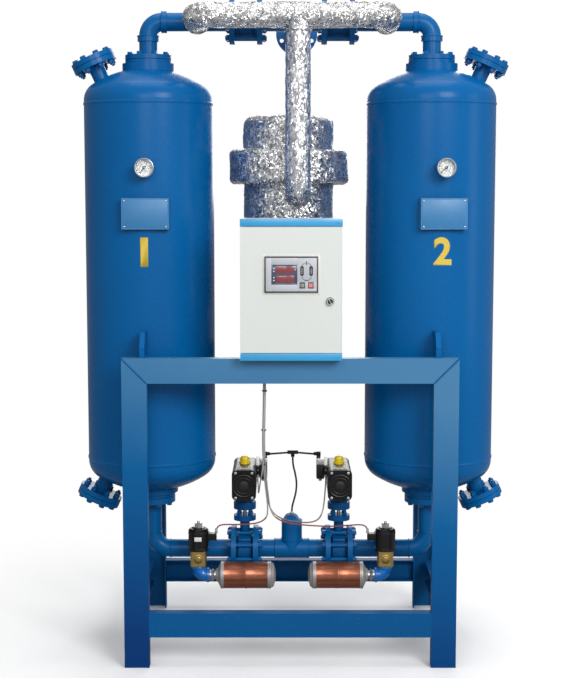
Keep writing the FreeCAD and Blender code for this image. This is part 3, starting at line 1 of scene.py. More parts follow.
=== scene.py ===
import math
import bmesh
import bpy
from mathutils import Matrix, Vector, noise


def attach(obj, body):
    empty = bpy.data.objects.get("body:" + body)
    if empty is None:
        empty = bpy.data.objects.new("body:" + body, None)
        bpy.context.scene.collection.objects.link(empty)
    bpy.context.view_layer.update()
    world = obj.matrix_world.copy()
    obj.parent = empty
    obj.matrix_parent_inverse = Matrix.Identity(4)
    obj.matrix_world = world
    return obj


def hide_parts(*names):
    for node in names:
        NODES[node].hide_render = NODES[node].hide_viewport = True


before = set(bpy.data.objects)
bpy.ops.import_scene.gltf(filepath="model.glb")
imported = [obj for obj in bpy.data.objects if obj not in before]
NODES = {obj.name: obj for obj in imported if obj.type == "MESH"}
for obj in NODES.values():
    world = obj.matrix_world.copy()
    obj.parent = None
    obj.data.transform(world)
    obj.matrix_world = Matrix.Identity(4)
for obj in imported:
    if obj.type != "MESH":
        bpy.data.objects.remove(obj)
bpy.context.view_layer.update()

MM = 0.001

# Camera and lamps

CAMERA_PLACE = Vector((-0.019, -6.050, 1.944))
CAMERA_PITCH = math.radians(6.1466)
CAMERA_LENS = 75.93
CAMERA_SENSOR = 36.0

camera_data = bpy.data.cameras.new("camera")
camera_data.lens = CAMERA_LENS
camera_data.sensor_width = CAMERA_SENSOR
camera_data.sensor_fit = "VERTICAL"
camera_data.sensor_height = CAMERA_SENSOR
camera = bpy.data.objects.new("camera", camera_data)
camera.location = CAMERA_PLACE
camera.rotation_euler = (math.pi / 2 - CAMERA_PITCH, 0, 0)
bpy.context.collection.objects.link(camera)
bpy.context.scene.camera = camera
bpy.context.scene.view_settings.view_transform = "Standard"


def softbox(name, place, target, width, height, power):
    data = bpy.data.lights.new(name, "AREA")
    data.shape = "RECTANGLE"
    data.size = width
    data.size_y = height
    data.energy = power
    lamp = bpy.data.objects.new(name, data)
    lamp.location = place
    aim = Vector(target) - Vector(place)
    lamp.rotation_euler = aim.to_track_quat("-Z", "Y").to_euler()
    bpy.context.collection.objects.link(lamp)


softbox("key softbox", (3.3, -6.8, 4.8), (0.1, 0, 1.4), 3.0, 3.0, 380)
softbox("fill softbox", (-0.6, -5.6, 3.4), (0, 0, 1.4), 2.0, 2.0, 62)
softbox("right softbox", (4.6, -1.2, 2.4), (0, 0, 1.3), 1.2, 3.0, 22)
softbox("top softbox", (0, 0.2, 5.6), (0, 0, 1.0), 3.6, 3.0, 80)
softbox("back softbox", (0.5, 4.6, 3.2), (0, 0, 1.4), 3.0, 3.0, 120)


# Node helpers

def new_group(name, inputs, outputs):
    group = bpy.data.node_groups.new(name, "ShaderNodeTree")
    for label, kind, value in inputs:
        socket = group.interface.new_socket(name=label, in_out="INPUT", socket_type=kind)
        socket.default_value = value
    for label, kind in outputs:
        group.interface.new_socket(name=label, in_out="OUTPUT", socket_type=kind)
    start = group.nodes.new("NodeGroupInput")
    end = group.nodes.new("NodeGroupOutput")
    return group, start, end


def put_out(group, end, **results):
    for label, result in results.items():
        group.links.new(result, end.inputs[label])


def placed_group(tree, group, values):
    """A shader group placed in a material with the material's own values."""
    node = tree.nodes.new("ShaderNodeGroup")
    node.node_tree = group
    for label, value in values.items():
        node.inputs[label].default_value = value
    return node


def feed(tree, sockets, values):
    """Numbers and tuples are set on their sockets, and outputs of other nodes are linked."""
    for socket, value in zip(sockets, values):
        if isinstance(value, (int, float, tuple)):
            socket.default_value = value
        else:
            tree.links.new(value, socket)


def object_place(tree):
    return tree.nodes.new("ShaderNodeTexCoord").outputs["Object"]


def axes_of(tree, vector):
    split = tree.nodes.new("ShaderNodeSeparateXYZ")
    tree.links.new(vector, split.inputs[0])
    return split.outputs


def math_node(tree, operation, *values):
    node = tree.nodes.new("ShaderNodeMath")
    node.operation = operation
    feed(tree, node.inputs, values)
    return node.outputs[0]


def vector_node(tree, operation, *values):
    node = tree.nodes.new("ShaderNodeVectorMath")
    node.operation = operation
    feed(tree, node.inputs, values)
    return node.outputs


def noise_node(tree, vector, scale, detail):
    node = tree.nodes.new("ShaderNodeTexNoise")
    sockets = [node.inputs[label] for label in ("Vector", "Scale", "Detail")]
    feed(tree, sockets, (vector, scale, detail))
    return node.outputs["Fac"]


def map_node(tree, value, low, high, out_low, out_high):
    node = tree.nodes.new("ShaderNodeMapRange")
    feed(tree, node.inputs[:5], (value, low, high, out_low, out_high))
    return node.outputs[0]


def mix_colours(tree, factor, first, second):
    node = tree.nodes.new("ShaderNodeMix")
    node.data_type = "RGBA"
    feed(tree, (node.inputs[0], node.inputs[6], node.inputs[7]), (factor, first, second))
    return node.outputs[2]


# World: a soft gradient lights the object, and camera and glass see a white backdrop

WHITE = (1.0, 1.0, 1.0, 1.0)
MIRRORED_SHARE = 0.25
GRADIENT_AIM = (0.15, -0.6, 0.55)
GRADIENT_SPAN = (-0.5, 0.8)
GRADIENT_LEVELS = (0.05, 0.72)


def make_world():
    """Camera and glass see the whole of the white backdrop, and reflections a share of it."""
    world = bpy.data.worlds.new("studio")
    bpy.context.scene.world = world
    world.use_nodes = True
    tree = world.node_tree
    tree.nodes.clear()
    direction = tree.nodes.new("ShaderNodeTexCoord").outputs["Generated"]
    height = vector_node(tree, "DOT_PRODUCT", direction, GRADIENT_AIM)["Value"]
    gradient = tree.nodes.new("ShaderNodeBackground")
    gradient.inputs["Color"].default_value = WHITE
    level = map_node(tree, height, *GRADIENT_SPAN, *GRADIENT_LEVELS)
    tree.links.new(level, gradient.inputs["Strength"])
    backdrop = tree.nodes.new("ShaderNodeBackground")
    backdrop.inputs["Color"].default_value = WHITE
    backdrop.inputs["Strength"].default_value = 1.0
    rays = tree.nodes.new("ShaderNodeLightPath").outputs
    seen = math_node(tree, "MULTIPLY_ADD", rays["Is Glossy Ray"], MIRRORED_SHARE, rays["Is Camera Ray"])
    seen = math_node(tree, "MAXIMUM", seen, rays["Is Transmission Ray"])
    pick = tree.nodes.new("ShaderNodeMixShader")
    feed(tree, pick.inputs, (seen, gradient.outputs[0], backdrop.outputs[0]))
    surroundings = tree.nodes.new("ShaderNodeOutputWorld")
    tree.links.new(pick.outputs[0], surroundings.inputs[0])


make_world()


# Shader groups, each built once

def build_coat_group():
    """Sprayed or moulded surface: broad shade drift, fine peel, dust and rubbed spots."""
    drift_scale, speck_scale = 2.6, 60.0
    rub_start, rub_gain = 0.62, 9.0
    gloss_swing = 0.16
    group, start, end = new_group("coat surface", [
        ("Colour", "NodeSocketColor", (0.1, 0.3, 0.6, 1)),
        ("Drift Colour", "NodeSocketColor", (0.1, 0.3, 0.6, 1)),
        ("Wear Colour", "NodeSocketColor", (0.3, 0.4, 0.5, 1)),
        ("Wear", "NodeSocketFloat", 0.1),
        ("Roughness", "NodeSocketFloat", 0.4),
        ("Grain Scale", "NodeSocketFloat", 300.0)],
        [("Colour", "NodeSocketColor"), ("Roughness", "NodeSocketFloat"), ("Height", "NodeSocketFloat")])
    place = object_place(group)
    broad = noise_node(group, place, drift_scale, 3.0)
    specks = noise_node(group, place, speck_scale, 4.0)
    grain = noise_node(group, place, start.outputs["Grain Scale"], 2.0)
    base = mix_colours(group, broad, start.outputs["Colour"], start.outputs["Drift Colour"])
    rub = math_node(group, "SUBTRACT", specks, rub_start)
    rub = math_node(group, "MULTIPLY", rub, rub_gain)
    clamp = group.nodes.new("ShaderNodeClamp")
    group.links.new(rub, clamp.inputs["Value"])
    amount = math_node(group, "MULTIPLY", clamp.outputs[0], start.outputs["Wear"])
    colour = mix_colours(group, amount, base, start.outputs["Wear Colour"])
    rough = math_node(group, "MULTIPLY", specks, gloss_swing)
    rough = math_node(group, "ADD", rough, start.outputs["Roughness"])
    rough = math_node(group, "SUBTRACT", rough, gloss_swing / 2)
    put_out(group, end, Colour=colour, Roughness=rough, Height=grain)
    return group


def build_crinkle_group():
    """Foil: flat facets in two sizes that each lean their own way, with painted shade in the creases
    between them and across the folds.
    """
    warp_scale, warp_reach = 22.0, 0.03
    small_facets = 2.6
    crease_width, crease_painted_shade = 0.06, 0.1
    fold_scale, fold_span, fold_painted_shade = 34.0, (0.3, 0.55), (0.5, 1.0)
    smoothest, dulled = 0.16, 0.20
    group, start, end = new_group("foil crinkle", [
        ("Colour", "NodeSocketColor", (0.8, 0.8, 0.8, 1)),
        ("Painted Shade Colour", "NodeSocketColor", (0.5, 0.5, 0.5, 1)),
        ("Scale", "NodeSocketFloat", 40.0),
        ("Lean", "NodeSocketFloat", 0.6),
        ("Stretch", "NodeSocketVector", (1, 1, 1))],
        [("Colour", "NodeSocketColor"), ("Roughness", "NodeSocketFloat"), ("Height", "NodeSocketFloat")])
    place = object_place(group)
    warp = group.nodes.new("ShaderNodeTexNoise")
    feed(group, (warp.inputs["Vector"], warp.inputs["Scale"]), (place, warp_scale))
    bent = vector_node(group, "MULTIPLY_ADD", warp.outputs["Color"], (warp_reach,) * 3, place)[0]
    drawn = vector_node(group, "MULTIPLY", bent, start.outputs["Stretch"])[0]
    edges = group.nodes.new("ShaderNodeTexVoronoi")
    edges.feature = "DISTANCE_TO_EDGE"
    feed(group, (edges.inputs["Vector"], edges.inputs["Scale"]), (drawn, start.outputs["Scale"]))
    crease = map_node(group, edges.outputs["Distance"], 0.0, crease_width, crease_painted_shade, 1.0)
    tilts = []
    for factor in (1.0, small_facets):
        cells = group.nodes.new("ShaderNodeTexVoronoi")
        scale = math_node(group, "MULTIPLY", start.outputs["Scale"], factor)
        feed(group, (cells.inputs["Vector"], cells.inputs["Scale"]), (drawn, scale))
        lean = vector_node(group, "SUBTRACT", cells.outputs["Color"], (0.5, 0.5, 0.5))[0]
        tilts.append(vector_node(group, "DOT_PRODUCT", lean, place)["Value"])
    height = math_node(group, "ADD", *tilts)
    height = math_node(group, "MULTIPLY", height, start.outputs["Lean"])
    folds = noise_node(group, bent, fold_scale, 5.0)
    rough = math_node(group, "MULTIPLY", folds, dulled)
    rough = math_node(group, "ADD", rough, smoothest)
    # Painted shade: the foil darkens towards its shade colour on the folds, and most in the creases.
    bright = map_node(group, folds, *fold_span, *fold_painted_shade)
    bright = math_node(group, "MULTIPLY", bright, crease)
    colour = mix_colours(group, bright, start.outputs["Painted Shade Colour"], start.outputs["Colour"])
    put_out(group, end, Colour=colour, Roughness=rough, Height=height)
    return group


def build_perforation_group():
    """Small round holes all over a can, as dimples with painted shade in them, in nearly even rows."""
    unevenness, hole_size = 0.25, 0.30
    group, start, end = new_group("perforation", [
        ("Colour", "NodeSocketColor", (0.8, 0.5, 0.35, 1)),
        ("Hole Shade Colour", "NodeSocketColor", (0.3, 0.15, 0.1, 1)),
        ("Scale", "NodeSocketFloat", 260.0)],
        [("Colour", "NodeSocketColor"), ("Height", "NodeSocketFloat")])
    cells = group.nodes.new("ShaderNodeTexVoronoi")
    sockets = [cells.inputs[label] for label in ("Vector", "Scale", "Randomness")]
    feed(group, sockets, (object_place(group), start.outputs["Scale"], unevenness))
    hole = math_node(group, "LESS_THAN", cells.outputs["Distance"], hole_size)
    colour = mix_colours(group, hole, start.outputs["Colour"], start.outputs["Hole Shade Colour"])
    put_out(group, end, Colour=colour, Height=math_node(group, "SUBTRACT", 1.0, hole))
    return group


COAT_GROUP = build_coat_group()
CRINKLE_GROUP = build_crinkle_group()
PERFORATION_GROUP = build_perforation_group()


# Materials, their colours written in steps of 0 to 255

def linear(colour):
    """A colour in steps of 0 to 255 as the linear value that a socket takes."""
    steps = [c / 255 for c in colour]
    return tuple(c / 12.92 if c <= 0.04045 else ((c + 0.055) / 1.055) ** 2.4 for c in steps) + (1,)


def darker(colour, share):
    return [c * share for c in colour]


def new_material(name):
    material = bpy.data.materials.new(name)
    material.use_nodes = True
    return material, material.node_tree, material.node_tree.nodes["Principled BSDF"]


def add_bump(tree, shader, height, strength, distance=0.001):
    bump = tree.nodes.new("ShaderNodeBump")
    bump.inputs["Strength"].default_value = strength
    bump.inputs["Distance"].default_value = distance
    tree.links.new(height, bump.inputs["Height"])
    tree.links.new(bump.outputs[0], shader.inputs["Normal"])


def coat_material(name, colour, drift, wear_colour, wear=0.1, roughness=0.4, grain=300.0,
                  bump=0.15, metallic=0.0, coat=0.0, specular=0.5):
    material, tree, shader = new_material(name)
    surface = placed_group(tree, COAT_GROUP, {
        "Colour": linear(colour), "Drift Colour": linear(drift), "Wear Colour": linear(wear_colour),
        "Wear": wear, "Roughness": roughness, "Grain Scale": grain})
    tree.links.new(surface.outputs["Colour"], shader.inputs["Base Color"])
    tree.links.new(surface.outputs["Roughness"], shader.inputs["Roughness"])
    add_bump(tree, shader, surface.outputs["Height"], bump)
    shader.inputs["Metallic"].default_value = metallic
    shader.inputs["Specular IOR Level"].default_value = specular
    shader.inputs["Coat Weight"].default_value = coat
    shader.inputs["Coat Roughness"].default_value = 0.12
    return material


def trunk_material(name, colour, low_colour, level):
    """Cable in a pale sleeve above a level and in its own colour below it."""
    material, tree, shader = new_material(name)
    high = math_node(tree, "GREATER_THAN", axes_of(tree, object_place(tree))["Z"], level)
    own, sleeve = [placed_group(tree, COAT_GROUP, {
        "Colour": linear(shade), "Drift Colour": linear(darker(shade, 0.9)),
        "Wear Colour": linear(darker(shade, 0.8)), "Wear": 0.3, "Roughness": 0.5})
        for shade in (low_colour, colour)]
    cover = mix_colours(tree, high, own.outputs["Colour"], sleeve.outputs["Colour"])
    tree.links.new(cover, shader.inputs["Base Color"])
    tree.links.new(own.outputs["Roughness"], shader.inputs["Roughness"])
    add_bump(tree, shader, own.outputs["Height"], 0.1)
    return material


def lit_and_shaded_frame_paint(name, foot, middle, top):
    """Frame paint with painted shade that deepens it at the foot and painted light that lightens it at the
    top, a little more to the right.
    """
    middle_height, top_height = 0.7, 1.2
    rise_to_right, streak_depth = 0.2, 0.12
    material, tree, shader = new_material(name)
    place = object_place(tree)
    across, _, level = axes_of(tree, place)
    # Painted light and shade: the colour runs from a shaded foot through the frame blue to a lit top, and
    # the right side is lit more.
    level = math_node(tree, "ADD", level, math_node(tree, "MULTIPLY", across, rise_to_right))
    streaks = math_node(tree, "MULTIPLY", noise_node(tree, place, 9.0, 4.0), streak_depth)
    level = math_node(tree, "ADD", level, streaks)
    level = math_node(tree, "SUBTRACT", level, streak_depth / 2)
    low = map_node(tree, level, 0.0, middle_height, 0.0, 1.0)
    high = map_node(tree, level, middle_height, top_height, 0.0, 1.0)
    colour = mix_colours(tree, low, linear(foot), linear(middle))
    colour = mix_colours(tree, high, colour, linear(top))
    surface = placed_group(tree, COAT_GROUP, {"Roughness": 0.42, "Grain Scale": 180.0})
    tree.links.new(colour, shader.inputs["Base Color"])
    tree.links.new(surface.outputs["Roughness"], shader.inputs["Roughness"])
    add_bump(tree, shader, surface.outputs["Height"], 0.10)
    shader.inputs["Specular IOR Level"].default_value = 0.15
    return material


def marked_face(name, colour, mark, centre, half_bar, radius):
    """Metal with two dark marks on its face, one each side of a slanted bright bar."""
    bar_slant = 0.55
    material, tree, shader = new_material(name)
    offset = vector_node(tree, "SUBTRACT", object_place(tree), centre)[0]
    aside, _, up = axes_of(tree, offset)
    across = math_node(tree, "ADD", aside, math_node(tree, "MULTIPLY", up, bar_slant))
    beside = math_node(tree, "GREATER_THAN", math_node(tree, "ABSOLUTE", across), half_bar)
    reach = vector_node(tree, "LENGTH", offset)["Value"]
    marks = math_node(tree, "MULTIPLY", beside, math_node(tree, "LESS_THAN", reach, radius))
    surface = placed_group(tree, COAT_GROUP, {
        "Colour": linear(colour), "Drift Colour": linear(darker(colour, 0.9)), "Roughness": 0.35})
    shade = mix_colours(tree, marks, surface.outputs["Colour"], linear(mark))
    tree.links.new(shade, shader.inputs["Base Color"])
    tree.links.new(surface.outputs["Roughness"], shader.inputs["Roughness"])
    add_bump(tree, shader, surface.outputs["Height"], 0.05)
    shader.inputs["Metallic"].default_value = 0.3
    return material


TOWER_REFLECTION_BLUE = (10, 114, 180)


def tower_reflection_mask(tree, flank):
    """Painted reflection of the towers: where foil turns towards a tower it takes the tower's blue, with a
    ragged edge.
    """
    ragged_scale, ragged_share = 26.0, 0.5
    turned_from, turned_to = 0.80, 1.20
    normal = tree.nodes.new("ShaderNodeNewGeometry").outputs["Normal"]
    side = math_node(tree, "ABSOLUTE", axes_of(tree, normal)["X"])
    ragged = noise_node(tree, object_place(tree), ragged_scale, 4.0)
    side = math_node(tree, "ADD", side, math_node(tree, "MULTIPLY", ragged, ragged_share))
    return map_node(tree, side, turned_from, turned_to, 0.0, flank)


def foil_material(name, colour, shade, scale, lean, stretch=(1, 1, 1), flank=0.0):
    """Crinkled foil. Its flanks, where a share is given, take a painted reflection of the towers' blue and
    lose some metal.
    """
    reflection_metallic = 0.5
    material, tree, shader = new_material(name)
    # The shade colour is painted shade for the foil's creases and folds.
    foil = placed_group(tree, CRINKLE_GROUP, {
        "Colour": linear(colour), "Painted Shade Colour": linear(shade), "Scale": scale, "Lean": lean,
        "Stretch": stretch})
    if flank:
        side = tower_reflection_mask(tree, flank)
        # Painted reflection: the flanks' colour is mixed towards the towers' blue.
        tint = mix_colours(tree, side, foil.outputs["Colour"], linear(TOWER_REFLECTION_BLUE))
        tree.links.new(tint, shader.inputs["Base Color"])
        tree.links.new(map_node(tree, side, 0.0, 1.0, 1.0, reflection_metallic), shader.inputs["Metallic"])
    else:
        tree.links.new(foil.outputs["Colour"], shader.inputs["Base Color"])
        shader.inputs["Metallic"].default_value = 1.0
    tree.links.new(foil.outputs["Roughness"], shader.inputs["Roughness"])
    add_bump(tree, shader, foil.outputs["Height"], 1.0, 1.0)
    return material


def perforated_material(name, colour, hole, scale):
    material, tree, shader = new_material(name)
    holes = placed_group(tree, PERFORATION_GROUP, {
        "Colour": linear(colour), "Hole Shade Colour": linear(hole), "Scale": scale})
    tree.links.new(holes.outputs["Colour"], shader.inputs["Base Color"])
    add_bump(tree, shader, holes.outputs["Height"], 0.5)
    shader.inputs["Metallic"].default_value = 0.75
    shader.inputs["Roughness"].default_value = 0.33
    return material


FRAME_BLUE = (0, 86, 142)
FRAME_SHADED_FOOT_BLUE = (0, 52, 110)
FRAME_LIT_TOP_BLUE = (66, 118, 158)
LOCK_X, LOCK_Z = 155, 1493

FRAME_PAINT = coat_material("frame paint", FRAME_BLUE, (0, 74, 128), (54, 120, 166), 0.25, 0.42,
                            180.0, 0.10, specular=0.15)
# Frame paint with painted shade at the foot and painted light at the top.
LIT_AND_SHADED_FRAME_PAINT = lit_and_shaded_frame_paint("frame paint with painted light and shade", FRAME_SHADED_FOOT_BLUE, FRAME_BLUE, FRAME_LIT_TOP_BLUE)
TOWER_PAINT = coat_material("tower paint", (0, 92, 153), (0, 82, 141), (30, 112, 162), 0.05, 0.27,
                            150.0, 0.03, specular=0.14)
PIPE_PAINT = coat_material("pipe paint", (2, 92, 152), (0, 78, 134), (46, 116, 166), 0.15, 0.30,
                           170.0, 0.10, specular=0.16)
VALVE_PAINT = coat_material("cast valve paint", (2, 80, 138), (0, 66, 118), (56, 114, 158), 0.25, 0.38,
                            420.0, 0.45, specular=0.15)
ELBOW_PAINT = coat_material("shiny elbow paint", (6, 106, 184), (0, 92, 168), (110, 156, 196), 0.1, 0.2,
                            120.0, 0.08, 0.0, 0.4, 0.4)
CABINET_PAINT = coat_material("cabinet paint", (207, 210, 207), (200, 204, 201), (180, 183, 180), 0.2,
                              0.42, 900.0, 0.10)
STRIP_PAINT = coat_material("cyan strip paint", (50, 152, 202), (44, 142, 194), (120, 180, 215), 0.1,
                            0.36, 400.0, 0.1, 0.0, 0.2)
PLATE_PAINT = coat_material("name plate", (48, 116, 166), (42, 108, 158), (100, 150, 186), 0.12, 0.4,
                            400.0, 0.08)
BRIGHT_STEEL = coat_material("zinc plated steel", (196, 198, 200), (176, 178, 180), (120, 118, 112),
                             0.35, 0.30, 500.0, 0.12, 1.0)
ALUMINIUM = coat_material("anodised aluminium", (108, 108, 104), (94, 94, 90), (156, 156, 152),
                          0.25, 0.42, 700.0, 0.18, 0.9)
LOCK_METAL = marked_face("lock metal", (196, 197, 198), (34, 35, 37),
                         (LOCK_X * MM, -0.512, LOCK_Z * MM), 0.0016, 0.0108)
SILVER_CAST = coat_material("silver casting", (190, 192, 194), (172, 174, 177), (130, 130, 130),
                            0.25, 0.38, 380.0, 0.2, 0.85)
BLACK_PLASTIC = coat_material("black moulding", (15, 15, 16), (11, 11, 12), (44, 44, 46), 0.2, 0.44,
                              600.0, 0.2, specular=0.2)
SHINY_BLACK = coat_material("shiny black moulding", (8, 8, 9), (6, 6, 7), (30, 30, 32), 0.15, 0.36,
                            500.0, 0.1)
COIL_RESIN = coat_material("coil resin", (17, 17, 18), (12, 12, 13), (48, 48, 50), 0.2, 0.30, 350.0,
                           0.12, specular=0.3)
DARK_GREY = coat_material("dark grey plastic", (58, 60, 64), (50, 52, 56), (90, 90, 92), 0.2, 0.5,
                          500.0, 0.15)
WHITE_PLASTIC = coat_material("white plastic", (222, 222, 218), (212, 212, 208), (170, 168, 160), 0.3,
                              0.42, 500.0, 0.1)
GREY_PLASTIC = coat_material("grey plastic", (150, 152, 154), (140, 142, 144), (110, 110, 110), 0.2,
                             0.5, 500.0, 0.12)
YELLOW_PLASTIC = coat_material("yellow plastic", (226, 200, 12), (214, 184, 8), (240, 226, 120), 0.15,
                               0.3, 400.0, 0.1, 0.0, 0.4)
RED_PLASTIC = coat_material("red plastic", (178, 34, 30), (160, 28, 26), (210, 90, 80), 0.15, 0.4,
                            400.0, 0.1)
BRASS = coat_material("cast brass", (190, 164, 100), (160, 134, 78), (96, 78, 44), 0.5, 0.3, 260.0,
                      0.25, 0.95)
# The second colour is painted shade in the can's holes.
COPPER_CAN = perforated_material("sintered can", (158, 96, 72), (92, 50, 38), 210.0)
CONE_METAL = coat_material("cone metal", (172, 168, 166), (156, 152, 150), (116, 110, 108), 0.35, 0.42,
                           320.0, 0.15, 0.45)
# The second colour of each foil is the painted shade of its creases and folds.
FOIL = foil_material("crinkled foil", (236, 235, 234), (90, 94, 106), 105.0, 0.75)
# Its flanks carry a painted reflection of the towers' blue.
SHELL_FOIL = foil_material("crinkled foil between the towers", (248, 247, 246), (100, 102, 110), 95.0, 0.6,
                           flank=0.85)
# Its flanks carry a weaker painted reflection of the towers' blue.
DRAWN_FOIL = foil_material("foil drawn round a pipe", (230, 230, 233), (160, 163, 170), 105.0, 0.6,
                           (1.0, 1.0, 0.35), 0.5)
SMOOTH_FOIL = foil_material("cladding foil", (214, 218, 224), (164, 168, 176), 12.0, 0.2)
NUMERAL_PAINT = coat_material("yellow numeral paint", (208, 182, 62), (196, 168, 52), (150, 130, 60),
                              0.3, 0.5, 500.0, 0.1)
CABLE_GREY = coat_material("grey cable", (176, 172, 168), (160, 156, 152), (190, 188, 184), 0.2, 0.5,
                           600.0, 0.12)
CABLE_RED = trunk_material("red brown cable", (178, 174, 170), (132, 60, 54), 0.552)
CABLE_MIXED = trunk_material("grey brown cable", (170, 166, 162), (112, 92, 90), 0.552)
HOSE_BLACK = coat_material("air hose", (16, 19, 26), (12, 14, 20), (50, 56, 66), 0.15, 0.35, 300.0,
                          0.06, 0.0, 0.3)
RUBBER = coat_material("gasket rubber", (34, 34, 34), (28, 28, 28), (70, 70, 70), 0.2, 0.7, 300.0, 0.2)
DESICCANT = coat_material("desiccant beads", (224, 222, 214), (206, 204, 196), (176, 172, 160), 0.4,
                          0.8, 170.0, 0.9)
DIAL_WHITE = coat_material("dial face", (236, 236, 232), (230, 230, 226), (210, 208, 200), 0.2, 0.5,
                           500.0, 0.03)
INK_BLACK = coat_material("dial ink", (22, 22, 24), (26, 26, 28), (50, 50, 50), 0.1, 0.5, 500.0, 0.03)


# Places of the part's pieces, in millimetres

PIPE_MID_X = 8.0
TOWER_X = 590.0
TOWER_R = 270.0
# Degrees by which the gauge and plate of the left and the right tower are turned from the front
FRONT_TURNS = {-1: 1.5, 1: 5.5}
TOP_PIPE_Z, LOW_PIPE_Z = 2617, 384
TOP_COVER_Z, LOW_COVER_Z = 2480, 593
CHECK_REACH, DISC_REACH, PURGE_REACH, HEADER_REACH = 191, 202, 394, 390
PURGE_Y, HEADER_Y = -140.0, -256.0
SILENCER_Z = 304.0
ACTUATOR_Z = 688.5
ACTUATOR_HALF = 50
LEG_X = 31
GAUGE_Z, PLATE_Z = 2012, 1829


# Shapes, all made with bmesh operators and kept at the origin

def finish_piece(name, bm, material, body="skid", smooth=30.0):
    """Turns a bmesh into a piece that rides on a body."""
    bmesh.ops.recalc_face_normals(bm, faces=bm.faces)
    mesh = bpy.data.meshes.new(name)
    bm.to_mesh(mesh)
    bm.free()
    piece = bpy.data.objects.new(name, mesh)
    bpy.context.collection.objects.link(piece)
    mesh.materials.append(material)
    if smooth:
        mesh.shade_smooth()
        mesh.set_sharp_from_angle(angle=math.radians(smooth))
    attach(piece, body)
    return piece


def ease(bm, edges, offset, segments=2):
    """Rounds edges by an offset in millimetres."""
    bmesh.ops.bevel(bm, geom=list(edges), offset=offset * MM, offset_type="OFFSET", segments=segments,
                    profile=0.5, affect="EDGES", material=-1, clamp_overlap=True)


def aimed(centre, axis):
    """Matrix that carries +Z onto an axis at a place, both in millimetres."""
    turn = Vector(axis).normalized().to_track_quat("Z", "Y").to_matrix().to_4x4()
    return Matrix.Translation(Vector(centre) * MM) @ turn


def add_drum(bm, centre, axis, diameter, length, sides=40, edge=0.0, tip=None):
    """Closed cylinder or cone from a base centre along an axis, with eased rims."""
    matrix = aimed(centre, axis) @ Matrix.Translation((0, 0, length / 2 * MM))
    top = diameter if tip is None else tip
    made = bmesh.ops.create_cone(bm, cap_ends=True, segments=sides, radius1=diameter / 2 * MM,
                                 radius2=top / 2 * MM, depth=length * MM, matrix=matrix)
    if edge:
        faces = {f for v in made["verts"] for f in v.link_faces}
        ease(bm, [e for f in faces if len(f.verts) > 4 for e in f.edges], edge)


def create_block(bm, low, high):
    size = [(b - a) * MM for a, b in zip(low, high)]
    middle = [(a + b) / 2 * MM for a, b in zip(low, high)]
    matrix = Matrix.Translation(middle) @ Matrix.Diagonal((*size, 1))
    made = bmesh.ops.create_cube(bm, size=1.0, matrix=matrix)
    return {e for v in made["verts"] for e in v.link_edges}


def add_block(bm, low, high, edge=1.0, segments=2):
    edges = create_block(bm, low, high)
    if edge:
        ease(bm, edges, edge, segments)


def add_lathe(bm, profile, centre, axis, steps=64):
    """Full turn of (radius, height) points about an axis, closed where the outline meets it."""
    for vert in bm.verts:
        vert.tag = True
    start = [bm.verts.new((r * MM, 0, h * MM)) for r, h in profile]
    edges = [bm.edges.new(pair) for pair in zip(start, start[1:])]
    bmesh.ops.spin(bm, geom=start + edges, cent=(0, 0, 0), axis=(0, 0, 1),
                   angle=2 * math.pi, steps=steps, use_merge=True)
    bmesh.ops.remove_doubles(bm, verts=[v for v in bm.verts if not v.tag], dist=1e-6)
    bmesh.ops.transform(bm, matrix=aimed(centre, axis), verts=[v for v in bm.verts if not v.tag])


def add_ring(bm, centre, axis, diameter, thickness, steps=64):
    """Torus-like bead, such as a weld or a seal."""
    sides = 8
    r = thickness / 2
    points = [(diameter / 2 + r * math.cos(a), r * math.sin(a))
              for a in [2 * math.pi * k / sides for k in range(sides + 1)]]
    add_lathe(bm, points, centre, axis, steps)


def add_hex(bm, centre, axis, across, height):
    """Hexagon head or nut with eased corners."""
    corner = across / math.cos(math.pi / 6)
    matrix = aimed(centre, axis) @ Matrix.Translation((0, 0, height / 2 * MM))
    made = bmesh.ops.create_cone(bm, cap_ends=True, segments=6, radius1=corner / 2 * MM,
                                 radius2=corner / 2 * MM, depth=height * MM, matrix=matrix)
    faces = {f for v in made["verts"] for f in v.link_faces}
    ease(bm, [e for f in faces if len(f.verts) == 6 for e in f.edges], across * 0.06, 1)


def round_places(centre, axis, circle, count):
    """Places on a circle about an axis, with the first one half a step round."""
    matrix = aimed(centre, axis)
    angles = [2 * math.pi * (k + 0.5) / count for k in range(count)]
    return [matrix @ Vector((circle / 2 * math.cos(a) * MM, circle / 2 * math.sin(a) * MM, 0)) / MM
            for a in angles]


def paint(material, *names):
    for name in names:
        node = NODES[name]
        node.data.materials.clear()
        node.data.materials.append(material)


# Cables and the air hose, their routes as in the part's source

